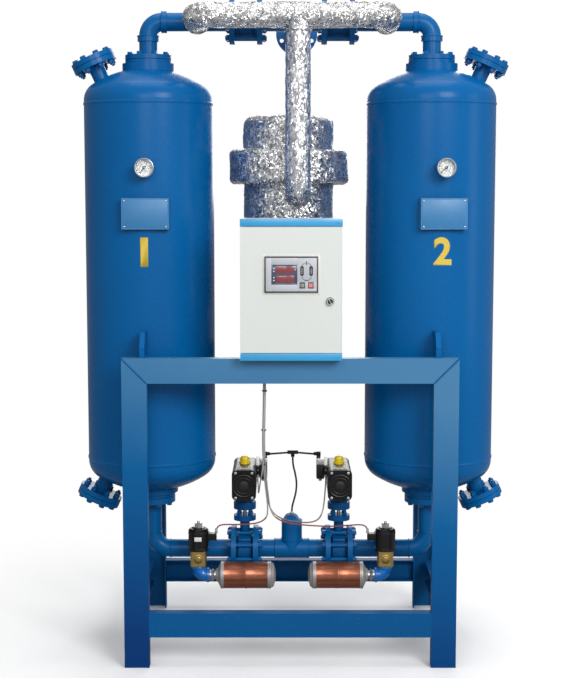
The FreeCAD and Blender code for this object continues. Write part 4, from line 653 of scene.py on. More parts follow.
CABLE_OD = 6.0
HOSE_OD = 8.0
ROUTES = {
    "left_cable": [
        (-107, -345, 1235), (-107, -345, 1155), (-108, -340, 1075), (-110, -328, 995),
        (-112, -308, 915), (-111, -280, 840), (-108, -246, 770), (-103, -210, 705),
        (-97, -176, 645), (-93, -149, 590), (-97, -134, 550), (-128, -130, 526),
        (-180, -130, 520), (-230, -133, 519), (-270, -138, 521), (-296, -140, 519),
        (-311, -140, 504), (-311, -140, 484)],
    "right_cable": [
        (-100, -345, 1235), (-100, -345, 1155), (-101, -340, 1075), (-103, -328, 995),
        (-105, -308, 915), (-104, -280, 840), (-101, -246, 770), (-96, -210, 705),
        (-90, -176, 645), (-84, -149, 590), (-66, -132, 552), (-28, -124, 528),
        (24, -123, 518), (80, -123, 513), (136, -124, 510), (192, -126, 510), (242, -131, 515),
        (284, -138, 520), (312, -140, 519), (327, -140, 504), (327, -140, 484)],
    "left_pilot_cable": [
        (-103, -351, 1235), (-103, -351, 1155), (-104, -346, 1075), (-107, -334, 995),
        (-109, -314, 915), (-108, -287, 840), (-114, -258, 774), (-124, -212, 716),
        (-130, -160, 672), (-133, -104, 646), (-134, -62, 650), (-136, -39, 675),
        (-137, -33, 700), (-137, -33, 715)],
    "right_pilot_cable": [
        (-104, -337, 1235), (-104, -337, 1155), (-105, -332, 1075), (-107, -320, 995),
        (-109, -300, 915), (-108, -272, 840), (-105, -238, 770), (-100, -202, 705),
        (-93, -168, 645), (-86, -139, 592), (-60, -126, 556), (-20, -115, 534),
        (30, -112, 525), (80, -110, 521), (120, -98, 530), (138, -76, 556), (145, -60, 592),
        (149, -48, 630), (152, -39, 665), (153, -33, 693), (153, -33, 715)],
    "pilot_hose": [
        (12, 0, 786), (12, 0, 752), (22, -4, 716), (29, -6, 676), (27, -5, 634),
        (17, -2, 594), (8, 0, 562), (8, 0, 532)]}


def lay_cord(node, diameter, material):
    curve = bpy.data.curves.new(node + "_sheath", "CURVE")
    curve.dimensions = "3D"
    curve.bevel_depth = diameter / 2 * MM
    curve.bevel_resolution = 4
    curve.resolution_u = 8
    curve.use_fill_caps = True
    spline = curve.splines.new("NURBS")
    route = ROUTES[node]
    spline.points.add(len(route) - 1)
    for point, place in zip(spline.points, route):
        point.co = (*(Vector(place) * MM), 1)
    spline.order_u = 3
    spline.use_endpoint_u = True
    curve.materials.append(material)
    piece = bpy.data.objects.new(node + "_sheath", curve)
    bpy.context.collection.objects.link(piece)
    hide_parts(node)
    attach(piece, "skid")


lay_cord("left_cable", CABLE_OD, CABLE_RED)
lay_cord("right_cable", CABLE_OD, CABLE_RED)
lay_cord("left_pilot_cable", CABLE_OD, CABLE_GREY)
lay_cord("right_pilot_cable", CABLE_OD, CABLE_MIXED)
lay_cord("pilot_hose", HOSE_OD, HOSE_BLACK)


def make_cable_fittings():
    """Dome nut of the gland, sealing cone, ties round the bundle and boots at the plugs."""
    bm = bmesh.new()
    add_hex(bm, (-104, -345, 1239), (0, 0, 1), 33.0, 9.0)
    add_drum(bm, (-104, -345, 1238), (0, 0, -1), 30.0, 9.0, 32, 1.5, 22.0)
    finish_piece("gland_dome_nut", bm, DARK_GREY, "skid")
    bm = bmesh.new()
    add_drum(bm, (-104, -344, 1234), (0, 0, -1), 21.0, 26.0, 24, 1.0, 15.5)
    finish_piece("gland_strain_relief", bm, RUBBER, "skid")
    bm = bmesh.new()
    ties = (((-104, -343.5, 1120), (0, 0.05, -1)), ((-107.5, -315, 955), (0, 0.2, -1)),
            ((-106.5, -262, 808), (0.04, 0.45, -1)))
    for centre, axis in ties:
        add_ring(bm, centre, axis, 19.5, 3.0, 28)
    add_block(bm, (-100, -359, 1118), (-94, -353, 1124), 0.8)
    finish_piece("bundle_ties", bm, BLACK_PLASTIC, "skid")
    bm = bmesh.new()
    for x in (-311, 327):
        add_drum(bm, (x, -140, 484), (0, 0, 1), 13.0, 22.0, 24, 1.0, 8.0)
    for x in (-137, 153):
        add_drum(bm, (x, -33, 715), (0, 0, -1), 11.0, 16.0, 24, 1.0, 7.5)
    finish_piece("plug_boots", bm, GREY_PLASTIC, "skid")


make_cable_fittings()


# Finishes of the CAD pieces

paint(FRAME_PAINT, "rear_left_post", "rear_right_post",
      "low_beams", "rear_top_beam", "side_beams", "deck_rails")
# These front frame pieces take painted shade at the foot and painted light at the top.
paint(LIT_AND_SHADED_FRAME_PAINT, "front_top_beam", "front_left_post", "front_right_post")
paint(TOWER_PAINT, "left_tower_shell", "right_tower_shell", "port_covers")
paint(PIPE_PAINT, "left_top_pipe", "right_top_pipe", "left_bottom_pipe", "right_bottom_pipe",
      "outlet_tee", "inlet_tee", "heater_feed_pipe")
paint(VALVE_PAINT, "left_check_valve", "right_check_valve", "left_butterfly_body",
      "right_butterfly_body")
paint(ELBOW_PAINT, "purge_elbows")
paint(PIPE_PAINT, "flange_studs")
paint(BRIGHT_STEEL, "left_butterfly_disc", "right_butterfly_disc", "heater_rods")
paint(ALUMINIUM, "left_actuator", "right_actuator")
paint(BLACK_PLASTIC, "actuator_caps", "pilot_valves", "air_tee", "controller")
paint(COIL_RESIN, "purge_coils")
paint(YELLOW_PLASTIC, "left_indicator", "right_indicator")
paint(BRASS, "purge_valve_bodies")
paint(SMOOTH_FOIL, "heater_vessel", "heater_head", "hot_air_header")
paint(CABINET_PAINT, "cabinet_box", "cabinet_door")
paint(DARK_GREY, "control_gear", "start_key")
paint(LOCK_METAL, "door_lock")
paint(RED_PLASTIC, "stop_key")
paint(BRIGHT_STEEL, "left_gauge_case", "right_gauge_case")
paint(INK_BLACK, "left_gauge_needle", "right_gauge_needle")
paint(PLATE_PAINT, "name_plates")
paint(DESICCANT, "desiccant_beds")


# Towers: welds, cover bolts, port bolts, numerals

PORT_CIRCLE, COVER_CIRCLE, BOLT_COUNT = 148, 160, 8


def port_frame(side, top):
    """Face centre and axis of a slanted port."""
    tilt = math.radians(24.0)
    sign = 1 if top else -1
    z = 2293 + 159 if top else 780 - 159
    axis = Vector((side * math.sin(tilt), 0, sign * math.cos(tilt)))
    return Vector((side * (TOWER_X + 227), 0, z)), axis


def make_port_bolts():
    bolts = bmesh.new()
    washers = bmesh.new()
    seals = bmesh.new()
    for side in (-1, 1):
        for top in (True, False):
            face, axis = port_frame(side, top)
            for place in round_places(face + axis * 22, axis, PORT_CIRCLE, BOLT_COUNT):
                add_drum(washers, place, axis, 27, 2.5, 20)
                add_hex(bolts, place + axis * 2.5, axis, 21, 10)
            for place in round_places(face - axis * 20, -axis, PORT_CIRCLE, BOLT_COUNT):
                add_drum(washers, place, -axis, 27, 2.5, 20)
                add_hex(bolts, place - axis * 2.5, -axis, 21, 13)
                add_drum(bolts, place - axis * 15, -axis, 13.5, 7, 16, 1.0)
            add_drum(seals, face + axis * 0.2, axis, 152, 1.6, 48)
    finish_piece("port_bolts_and_nuts", bolts, PIPE_PAINT, "skid")
    finish_piece("port_washers", washers, PIPE_PAINT, "skid")
    finish_piece("port_gasket_edges", seals, RUBBER, "skid")


def make_cover_bolts():
    bolts = bmesh.new()
    for side in (-1, 1):
        for z, way in ((TOP_COVER_Z, 1), (LOW_COVER_Z, -1)):
            axis = Vector((0, 0, way))
            for place in round_places((side * TOWER_X, 0, z), axis, COVER_CIRCLE, BOLT_COUNT):
                add_drum(bolts, place, axis, 26, 2.2, 20)
                add_hex(bolts, place + axis * 2.2, axis, 20, 10)
    finish_piece("tower_cover_bolts", bolts, PIPE_PAINT, "skid")


def valve_ends(reach, half):
    """Both ends, along X, of the left and of the right valve of a pipe row."""
    return [PIPE_MID_X + side * reach + end * half for side in (-1, 1) for end in (-1, 1)]


def make_tower_welds():
    """Beads where necks, nozzles, pipes and covers join."""
    bm = bmesh.new()
    pipe, foot_pipe = 89, 76
    for side in (-1, 1):
        x = side * TOWER_X
        for z in (2407, 666):
            add_ring(bm, (x, 0, z), (0, 0, 1), 217, 9)
        for z in (TOP_COVER_Z, LOW_COVER_Z):
            add_ring(bm, (x, 0, z), (0, 0, 1), 76, 8, 40)
        for top in (True, False):
            face, axis = port_frame(side, top)
            add_ring(bm, face - axis * 20, axis, 66, 8, 40)
    for x in valve_ends(CHECK_REACH, 46 + 22):
        add_ring(bm, (x, 0, TOP_PIPE_Z), (1, 0, 0), 76, 7, 40)
    add_ring(bm, (LEG_X, 490, TOP_PIPE_Z), (0, 1, 0), 76, 7, 40)
    add_ring(bm, (LEG_X, 34, TOP_PIPE_Z), (0, 1, 0), 78, 8, 40)
    for x in valve_ends(DISC_REACH, 36.5 + 21):
        add_ring(bm, (x, 0, LOW_PIPE_Z), (1, 0, 0), 76, 7, 40)
    for side in (-1, 1):
        add_ring(bm, (PIPE_MID_X + side * PURGE_REACH, -36, LOW_PIPE_Z), (0, 1, 0), 44, 7, 32)
    for side in (-1, 1):
        add_ring(bm, (side * (TOWER_X - 58), 0, TOP_PIPE_Z), (1, 0, 0), pipe, 5, 40)
        add_ring(bm, (side * TOWER_X, 0, TOP_PIPE_Z - 58), (0, 0, 1), pipe, 5, 40)
        add_ring(bm, (side * (TOWER_X - 76), 0, LOW_PIPE_Z), (1, 0, 0), foot_pipe, 6, 40)
        add_ring(bm, (side * TOWER_X, 0, LOW_PIPE_Z + 76), (0, 0, 1), foot_pipe, 6, 40)
    finish_piece("weld_beads", bm, PIPE_PAINT, "skid", 60.0)


def make_numeral(name, letter, side, x, z, height):
    """Painted numeral that lies on the round front of a tower."""
    size_to_height, strip, paint_depth, lift = 1.38, 0.006, 0.0006, 0.0003
    curve = bpy.data.curves.new(name, "FONT")
    curve.body = letter
    curve.size = height * size_to_height * MM
    curve.align_x = "CENTER"
    curve.extrude = 0.0
    curve.offset = 0.0085 if letter == "1" else 0.005
    holder = bpy.data.objects.new(name + "_outline", curve)
    bpy.context.collection.objects.link(holder)
    bpy.context.view_layer.update()
    mesh = bpy.data.meshes.new_from_object(holder)
    bpy.data.objects.remove(holder)
    bm = bmesh.new()
    bm.from_mesh(mesh)
    for k in range(-8, 9):
        bmesh.ops.bisect_plane(bm, geom=bm.verts[:] + bm.edges[:] + bm.faces[:],
                               plane_co=(k * strip, 0, 0), plane_no=(1, 0, 0))
    bmesh.ops.solidify(bm, geom=bm.faces[:], thickness=paint_depth)
    middle = (min(v.co.y for v in bm.verts) + max(v.co.y for v in bm.verts)) / 2
    lean = math.asin((x - side * TOWER_X) / TOWER_R)
    for vert in bm.verts:
        turn = vert.co.x / (TOWER_R * MM) + lean
        radius = TOWER_R * MM + lift + vert.co.z
        vert.co = Vector((side * TOWER_X * MM + radius * math.sin(turn),
                          -radius * math.cos(turn), z * MM + vert.co.y - middle))
    finish_piece(name, bm, NUMERAL_PAINT, "skid", 0)


make_port_bolts()
make_cover_bolts()
make_tower_welds()
make_numeral("numeral_one", "1", -1, -590, 1674, 108)
make_numeral("numeral_two", "2", 1, 616, 1678, 108)


# Gauges and name plates

def front_matrix(side):
    return Matrix.Translation((side * TOWER_X * MM, 0, 0)) @ Matrix.Rotation(
        math.radians(FRONT_TURNS[side]), 4, "Z")


def place_on_front(bm, side):
    bmesh.ops.transform(bm, matrix=front_matrix(side), verts=bm.verts[:])


def make_gauge(name, side):
    z = GAUGE_Z
    start, sweep, divisions, figures = 225, 270, 40, 8
    dial = bmesh.new()
    add_drum(dial, (0, -317.5, z), (0, 1, 0), 66, 1.4, 64)
    place_on_front(dial, side)
    finish_piece(name + "_dial", dial, DIAL_WHITE, "skid")
    marks = bmesh.new()
    for k in range(divisions + 1):
        turn = math.radians(start - sweep * k / divisions)
        long_mark = k % 5 == 0
        length = 7.0 if long_mark else 4.0
        width = 1.3 if long_mark else 0.6
        matrix = (Matrix.Translation((0, -318.0 * MM, z * MM)) @ Matrix.Rotation(-turn, 4, "Y")
                  @ Matrix.Translation(((29.5 - length / 2) * MM, 0, 0))
                  @ Matrix.Diagonal((length * MM, 0.5 * MM, width * MM, 1)))
        bmesh.ops.create_cube(marks, size=1.0, matrix=matrix)
    for k in range(figures + 1):
        turn = math.radians(start - sweep * k / figures)
        x, dz = 17.5 * math.cos(turn), 17.5 * math.sin(turn)
        add_block(marks, (x - 1.3, -318.2, z + dz - 1.9), (x + 1.3, -317.8, z + dz + 1.9), 0.0)
    add_block(marks, (-7, -318.2, z - 13), (7, -317.8, z - 11.4), 0.0)
    place_on_front(marks, side)
    finish_piece(name + "_scale", marks, INK_BLACK, "skid", 0)
    bezel = bmesh.new()
    add_lathe(bezel, [(33.6, 0), (33.6, 4), (36.2, 5.5), (38.4, 4.5), (39.2, 1.5), (39.2, -12),
                      (37.6, -12.5), (37.4, 0), (33.6, 0)], (0, -330, z), (0, -1, 0), 72)
    place_on_front(bezel, side)
    finish_piece(name + "_bezel", bezel, BRIGHT_STEEL, "skid", 35)
    lens = bmesh.new()
    add_drum(lens, (0, -330.5, z), (0, 1, 0), 67, 1.5, 64)
    place_on_front(lens, side)
    finish_piece(name + "_lens", lens, GLASS, "skid")
    nut = bmesh.new()
    add_hex(nut, (0, -300, z), (0, 1, 0), 27, 12)
    add_ring(nut, (0, -272, z), (0, 1, 0), 26, 7, 32)
    place_on_front(nut, side)
    finish_piece(name + "_socket", nut, BRASS, "skid")


def glass_material():
    """Clear glass with a faint uneven haze."""
    material, tree, shader = new_material("gauge glass")
    haze = math_node(tree, "MULTIPLY", noise_node(tree, object_place(tree), 90.0, 3.0), 0.06)
    tree.links.new(haze, shader.inputs["Roughness"])
    shader.inputs["Base Color"].default_value = (0.96, 0.98, 1.0, 1)
    shader.inputs["Transmission Weight"].default_value = 1.0
    shader.inputs["IOR"].default_value = 1.2
    return material


GLASS = glass_material()


def make_plate_trim(name, side):
    bm = bmesh.new()
    for dx in (-84, 84):
        for dz in (-52, 52):
            place = (dx, -296, PLATE_Z + dz)
            add_drum(bm, place, (0, -1, 0), 8.5, 2.6, 20, 0.9, 6.0)
    place_on_front(bm, side)
    finish_piece(name + "_rivets", bm, BRIGHT_STEEL, "skid")
    bm = bmesh.new()
    add_block(bm, (-90, -297.4, PLATE_Z - 57), (90, -295.8, PLATE_Z + 57), 0.6)
    place_on_front(bm, side)
    finish_piece(name + "_sheet", bm, PLATE_PAINT, "skid")
    bm = bmesh.new()
    for dx in (-95, 95):
        add_drum(bm, (dx, -254, PLATE_Z - 61), (0, 0, 1), 7, 122, 12)
    place_on_front(bm, side)
    finish_piece(name + "_welds", bm, TOWER_PAINT, "skid")


for gauge_name, gauge_side in (("left", -1), ("right", 1)):
    make_gauge(gauge_name + "_gauge", gauge_side)
    make_plate_trim(gauge_name + "_plate", gauge_side)


# Control cabinet: strips, seals, display, mimic symbols, key marks

CAB_LEFT, CAB_RIGHT = -195.5, 202.5
CAB_BOTTOM, CAB_TOP = 1261.0, 1813.0
CAB_FRONT = -497.0
PANEL_X, PANEL_Z = 3.5, 1598.0
PANEL_FACE = -505.0
KEY_Z = 1556


def make_cabinet_trim():
    strips = bmesh.new()
    for low, high in ((CAB_BOTTOM - 0.4, CAB_BOTTOM + 28), (CAB_TOP - 28, CAB_TOP + 0.6)):
        add_block(strips, (CAB_LEFT - 0.6, CAB_FRONT - 0.8, low),
                  (CAB_RIGHT + 0.6, CAB_FRONT + 0.4, high), 0.5)
        for x0, x1 in ((CAB_LEFT - 0.6, CAB_LEFT + 0.1), (CAB_RIGHT - 0.1, CAB_RIGHT + 0.6)):
            add_block(strips, (x0, CAB_FRONT - 0.6, low), (x1, CAB_FRONT + 20, high), 0.25)
    finish_piece("cabinet_strips", strips, STRIP_PAINT, "skid")
    seal = bmesh.new()
    add_frame(seal, -193, 200, 1292, 1782, 5, -478.4, -477.2)
    finish_piece("door_seal", seal, RUBBER, "skid")
    screws = bmesh.new()
    for x in (-180, 187):
        for z in (1275, 1799):
            add_drum(screws, (x, CAB_FRONT - 0.8, z), (0, -1, 0), 8, 2.2, 20, 0.8)
    finish_piece("strip_screws", screws, STRIP_PAINT, "skid")


def make_door_edge():
    """Folded rim that catches the light round the door."""
    bm = bmesh.new()
    x0, x1, z0, z1 = CAB_LEFT + 1, CAB_RIGHT - 1, CAB_BOTTOM + 30, CAB_TOP - 30
    for low, high in (((x0, CAB_FRONT - 0.5, z0), (x0 + 3, CAB_FRONT + 2, z1)),
                      ((x1 - 3, CAB_FRONT - 0.5, z0), (x1, CAB_FRONT + 2, z1)),
                      ((x0, CAB_FRONT - 0.5, z0), (x1, CAB_FRONT + 2, z0 + 3)),
                      ((x0, CAB_FRONT - 0.5, z1 - 3), (x1, CAB_FRONT + 2, z1))):
        add_block(bm, low, high, 1.0, segments=3)
    finish_piece("door_folded_rim", bm, CABINET_PAINT, "door")


def add_frame(bm, x0, x1, z0, z1, width, y0, y1, edge=0.3):
    """Flat rectangular frame of four bars."""
    for low, high in (((x0, y0, z0), (x0 + width, y1, z1)), ((x1 - width, y0, z0), (x1, y1, z1)),
                      ((x0 + width, y0, z0), (x1 - width, y1, z0 + width)),
                      ((x0 + width, y0, z1 - width), (x1 - width, y1, z1))):
        add_block(bm, low, high, edge)


def make_controller_face():
    middle, window_x, z = PANEL_X, PANEL_X - 27.0, PANEL_Z
    row_places = (18.5, -17.5)
    rim = bmesh.new()
    add_frame(rim, middle - 112, middle + 112, z - 78, z + 78, 10, -498.6, -496.6, 0.5)
    finish_piece("panel_outer_rim", rim, RIM_CREAM, "door")
    rim = bmesh.new()
    add_frame(rim, middle - 104.2, middle + 104.2, z - 70.6, z + 70.6, 4.6, PANEL_FACE - 0.9, -497.5, 0.8)
    finish_piece("panel_dark_rim", rim, DARK_GREY, "door")
    overlay = bmesh.new()
    y0, y1 = PANEL_FACE - 0.5, PANEL_FACE + 0.2
    add_block(overlay, (middle - 99, y0, z - 65), (window_x - 50.6, y1, z + 65), 0.2)
    add_block(overlay, (window_x - 50.6, y0, z + 38.8), (window_x + 50.6, y1, z + 65), 0.2)
    add_block(overlay, (window_x - 50.6, y0, z - 65), (window_x + 50.6, y1, z - 38.8), 0.2)
    add_block(overlay, (window_x + 50.6, y0, z - 30), (middle + 99, y1, z + 65), 0.2)
    add_block(overlay, (window_x + 50.6, y0, z - 65), (middle + 99, y1, z - 54), 0.2)
    add_block(overlay, (window_x + 50.6, y0, z - 54), (35.6, y1, z - 30), 0.2)
    add_block(overlay, (89.8, y0, z - 54), (middle + 99, y1, z - 30), 0.2)
    add_block(overlay, (56.4, y0, z - 54), (68.8, y1, z - 30), 0.2)
    finish_piece("panel_overlay", overlay, PANEL_GREY, "door")
    surround = bmesh.new()
    add_frame(surround, window_x - 50.6, window_x + 50.6, z - 38.8, z + 38.8, 5, PANEL_FACE - 0.8,
              PANEL_FACE + 1.5, 0.5)
    finish_piece("display_surround", surround, DISPLAY_BLUE, "door")
    pane = bmesh.new()
    add_block(pane, (window_x - 46.8, -503.9, z - 34.8), (window_x + 46.8, -502.8, z + 34.8), 0.2)
    finish_piece("display_pane", pane, DISPLAY_BLUE, "door")
    rows = bmesh.new()
    for row in row_places:
        add_block(rows, (window_x - 33, -504.4, z + row - 13), (window_x + 37, -503.7, z + row + 13), 0.2)
    finish_piece("display_rows", rows, DISPLAY_RED, "door")
    segments = bmesh.new()
    for row in row_places:
        for k in range(4):
            x = window_x - 23 + k * 17
            for dz in (-9, 0, 9):
                add_block(segments, (x - 4.5, -504.7, z + row + dz - 0.8),
                          (x + 4.5, -504.3, z + row + dz + 0.8), 0.0)
            for dx in (-5.4, 5.4):
                for dz in (-4.5, 4.5):
                    add_block(segments, (x + dx - 0.8, -504.7, z + row + dz - 3.4),
                              (x + dx + 0.8, -504.3, z + row + dz + 3.4), 0.0)
    finish_piece("display_segments", segments, SEGMENT_RED, "door", 0)
    lamps = bmesh.new()
    for row in (24, 13, -12, -23):
        add_block(lamps, (window_x - 43, -504.6, z + row - 2.2),
                  (window_x - 38.5, -503.7, z + row + 2.2), 0.3)
    add_block(lamps, (window_x + 40.5, -504.6, z + 16), (window_x + 43, -503.7, z + 22), 0.3)
    finish_piece("display_lamps", lamps, WHITE_PLASTIC, "door")
    mimic = bmesh.new()
    y0, y1 = PANEL_FACE - 0.9, PANEL_FACE - 0.3
    for x in (45.0, 80.5):
        for dz in (-13, 13):
            add_drum(mimic, (x, y0, z + 14 + dz), (0, 1, 0), 14, 0.6, 32)
        add_block(mimic, (x - 7, y0, z + 1), (x + 7, y1, z + 27), 0.0)
    for base, sign in ((z + 32, 1), (z - 9, -1)):
        for k in range(9):
            a = math.pi * (k + 0.5) / 9
            x, level = 62.75 + 17.5 * math.cos(a), base + sign * 13 * math.sin(a)
            add_block(mimic, (x - 1.6, y0, level - 1.6), (x + 1.6, y1, level + 1.6), 0.0)
    add_block(mimic, (61, y0, z + 38), (64.5, y1, z + 52), 0.0)
    add_block(mimic, (54, y0, z - 24.5), (71.5, y1, z - 22.5), 0.0)
    finish_piece("mimic_symbols", mimic, DARK_GREY, "door", 0)
    dots = bmesh.new()
    for x in (45.0, 80.5):
        for dz in (-8, 0, 8):
            add_drum(dots, (x, y0 - 0.4, z + 14 + dz), (0, 1, 0), 3.4, 0.5, 20)
    finish_piece("mimic_lamps", dots, WHITE_PLASTIC, "door", 0)
    for name, body, x in (("start_key", "start_button", 46.1), ("stop_key", "stop_button", 79.1)):
        cap = bmesh.new()
        add_block(cap, (x - 9.3, -507.3, KEY_Z - 9.3), (x + 9.3, -506.0, KEY_Z + 9.3), 0.6)
        key_finish = DARK_GREY if name == "start_key" else RED_PLASTIC
        finish_piece(name + "_cap", cap, key_finish, body)
        sign = bmesh.new()
        add_frame(sign, x - 6, x + 6, KEY_Z - 6, KEY_Z + 6, 1.2, -507.8, -507.2, 0.0)
        if name == "start_key":
            add_block(sign, (x - 0.8, -507.8, KEY_Z - 3), (x + 0.8, -507.2, KEY_Z + 3), 0.0)
        else:
            add_ring(sign, (x, -507.4, KEY_Z), (0, 1, 0), 5.4, 1.0, 28)
        finish_piece(name + "_mark", sign, WHITE_PLASTIC, body, 0)


def make_lock_trim():
    bm = bmesh.new()
    add_lathe(bm, [(6.8, 0.3), (8.4, 0.0), (11.8, -1.4), (13.7, -4.2), (13.7, -14.0), (12.2, -14.4)],
              (LOCK_X, -511.7, LOCK_Z), (0, -1, 0), 48)
    finish_piece("lock_barrel", bm, LOCK_METAL, "lock")
    bm = bmesh.new()
    add_ring(bm, (LOCK_X, -497.3, LOCK_Z), (0, 1, 0), 30, 2.2, 48)
    finish_piece("lock_escutcheon", bm, DARK_GREY, "door")


DISPLAY_BLUE = coat_material("display surround", (66, 72, 96), (60, 66, 90), (92, 98, 120), 0.1, 0.2,
                             200.0, 0.02, 0.0, 0.5)
DISPLAY_RED = coat_material("unlit red window", (138, 58, 62), (126, 52, 56), (156, 82, 84), 0.1, 0.2,
                            200.0, 0.02, 0.0, 0.5)
SEGMENT_RED = coat_material("dim segments", (112, 44, 50), (104, 40, 46), (120, 60, 62), 0.1, 0.3,
                            200.0, 0.02)
PANEL_GREY = coat_material("panel film", (178, 182, 188), (170, 174, 180), (150, 154, 160), 0.12, 0.4,
                           500.0, 0.04)
RIM_CREAM = coat_material("panel rim", (216, 214, 206), (208, 206, 198), (184, 182, 172), 0.2, 0.45,
                          500.0, 0.08)
make_cabinet_trim()
make_door_edge()
make_controller_face()
make_lock_trim()


# Actuators and pilot valves

def make_actuator_trim(name, x, side, disc_body):
    screws = bmesh.new()
    for y_side in (-1, 1):
        for dx in (-35, 35):
            for dz in (-53, 53):
                place = (x + dx, y_side * 143, ACTUATOR_Z + dz)
                add_drum(screws, place, (0, y_side, 0), 12, 4.6, 20, 0.8)
                add_drum(screws, (place[0], y_side * 147.5, place[2]), (0, y_side, 0), 5, 0.3, 6)
    finish_piece(name + "_cap_screws", screws, BRIGHT_STEEL, "skid")
    boss = bmesh.new()
    for y_side in (-1, 1):
        add_ring(boss, (x, y_side * 151.4, ACTUATOR_Z), (0, 1, 0), 92, 5.0, 56)
        add_ring(boss, (x, y_side * 151.8, ACTUATOR_Z), (0, 1, 0), 66, 2.4, 48)
        add_drum(boss, (x, y_side * 151.5, ACTUATOR_Z), (0, y_side, 0), 40, 3.0, 40, 1.0)
        for turn in range(0, 360, 45):
            a = math.radians(turn + 22.5)
            tip = (x + 33 * math.cos(a), y_side * 152.2, ACTUATOR_Z + 33 * math.sin(a))
            add_drum(boss, tip, (0, y_side, 0), 5, 1.2, 16, 0.4)
        for dx in (-48, 48):
            add_block(boss, (x + dx - 2, y_side * 137 - 4, 650), (x + dx + 2, y_side * 137 + 4, 727), 0.8)
    finish_piece(name + "_cap_rings", boss, SHINY_BLACK, "skid")
    ribs = bmesh.new()
    for flank_x in (x - ACTUATOR_HALF, x + ACTUATOR_HALF):
        for z in (648, 667, 710, 729):
            add_block(ribs, (flank_x - 1.1, -130, z - 1.6), (flank_x + 1.1, 130, z + 1.6), 0.8)
    for dx in (-26, -18, 18, 26):
        add_block(ribs, (x + dx - 1.2, -130, 754.2), (x + dx + 1.2, 130, 755.8), 0.5)
    finish_piece(name + "_body_ribs", ribs, ALUMINIUM, "skid")
    plugs = bmesh.new()
    for dy in (-40, 40):
        for dx in (-13, 13):
            add_drum(plugs, (x + dx, dy, 754.6), (0, 0, 1), 8, 1.0, 24)
    for y in (38, 82):
        add_drum(plugs, (x - side * ACTUATOR_HALF, y, 688), (-side, 0, 0), 15, 3, 28, 0.8)
    finish_piece(name + "_port_plugs", plugs, DARK_GREY, "skid")
    dome = bmesh.new()
    add_block(dome, (x - 3, -15.5, 788.2), (x + 3, 15.5, 791.5), 1.2, segments=3)
    for turn in (0, 90, 180, 270):
        a = math.radians(turn)
        foot_x, foot_y = x + 20.5 * math.cos(a), 20.5 * math.sin(a)
        add_block(dome, (foot_x - 2.2, foot_y - 2.2, 764), (foot_x + 2.2, foot_y + 2.2, 767), 0.8)
    finish_piece(name + "_indicator_grip", dome, YELLOW_PLASTIC, disc_body)
    yoke = bmesh.new()
    add_drum(yoke, (x, 0, 559.6), (0, 0, 1), 95.8, 30.8, 56, 2.0)
    add_drum(yoke, (x, 0, 590), (0, 0, 1), 74, 6, 48, 1.4)
    add_drum(yoke, (x, 0, 592), (0, 0, 1), 66.8, 33, 48, 0.6)
    add_drum(yoke, (x, 0, 616), (0, 0, 1), 78, 8, 48, 1.4)
    for px, py in ((-24, -24), (24, -24), (-24, 24), (24, 24)):
        add_drum(yoke, (x + px, py, 533.5), (0, 0, 1), 14.8, 26.5, 24)
        add_hex(yoke, (x + px, py, 533), (0, 0, 1), 21, 9)
        add_hex(yoke, (x + px, py, 590), (0, 0, 1), 21, 9)
        add_drum(yoke, (x + px, py, 598), (0, 0, 1), 12, 5, 20, 1.0)
    finish_piece(name + "_yoke_cover", yoke, VALVE_PAINT, "skid")
    seal = bmesh.new()
    for face in (-1, 1):
        add_ring(seal, (x + face * 36.5, 0, LOW_PIPE_Z), (1, 0, 0), 110, 3.0, 56)
    finish_piece(name + "_liner_edges", seal, RUBBER, "skid")


def make_pilot_trim(name, x, side):
    """side points to the dryer's middle line from the actuator."""
    root = x + side * ACTUATOR_HALF

    def across(a, b):
        """Two places across the pilot valve, the lower X first."""
        ends = (root + side * a, root + side * b)
        return min(ends), max(ends)

    metal = bmesh.new()
    x0, x1 = across(13.2, 46.8)
    add_block(metal, (x0, -23.8, 752.5), (x1, 23.8, 780.6), 1.6)
    add_drum(metal, (root + side * 30, -6, 693), (0, 0, -1), 16, 7, 28, 1.2)
    add_hex(metal, (root + side * 30, -6, 686.5), (0, 0, -1), 13, 5)
    finish_piece(name + "_pilot_block", metal, SILVER_CAST, "skid")
    plate = bmesh.new()
    x0, x1 = across(-0.4, 13.6)
    add_block(plate, (x0, -23.8, 699.4), (x1, 23.8, 780.8), 1.4)
    finish_piece(name + "_pilot_plate", plate, WHITE_PLASTIC, "skid")
    coil = bmesh.new()
    x0, x1 = across(14, 46.8)
    add_block(coil, (x0, -32, 695), (x1, 16, 751.5), 3.0, segments=3)
    x0, x1 = across(-0.6, 14)
    add_block(coil, (x0, -43.6, 714.6), (x1, -23.4, 752.4), 2.0)
    finish_piece(name + "_pilot_coil", coil, COIL_RESIN, "skid")
    screws = bmesh.new()
    for dz in (757, 775):
        for dx in (19, 41):
            add_drum(screws, (root + side * dx, -23.8, dz), (0, -1, 0), 5.5, 1.8, 18, 0.6)
    add_drum(screws, (root + side * 7, -43.6, 734), (0, -1, 0), 5, 1.6, 18, 0.5)
    finish_piece(name + "_pilot_screws", screws, BRIGHT_STEEL, "skid")
    fitting = bmesh.new()
    fx = root + side * 37
    add_hex(fitting, (fx, 0, 780.5), (0, 0, 1), 17, 7)
    finish_piece(name + "_fitting_hex", fitting, BRIGHT_STEEL, "skid")
    elbow = bmesh.new()
    add_drum(elbow, (fx, 0, 787), (0, 0, 1), 17.5, 19.3, 28, 3.0)
    add_drum(elbow, (fx, 0, 798), (side, 0, -0.02), 15.5, 19, 28, 1.4)
    add_drum(elbow, (fx + side * 18.5, 0, 797.6), (side, 0, 0), 11.5, 4, 28, 1.0)
    finish_piece(name + "_elbow_fitting", elbow, BLACK_PLASTIC, "skid")


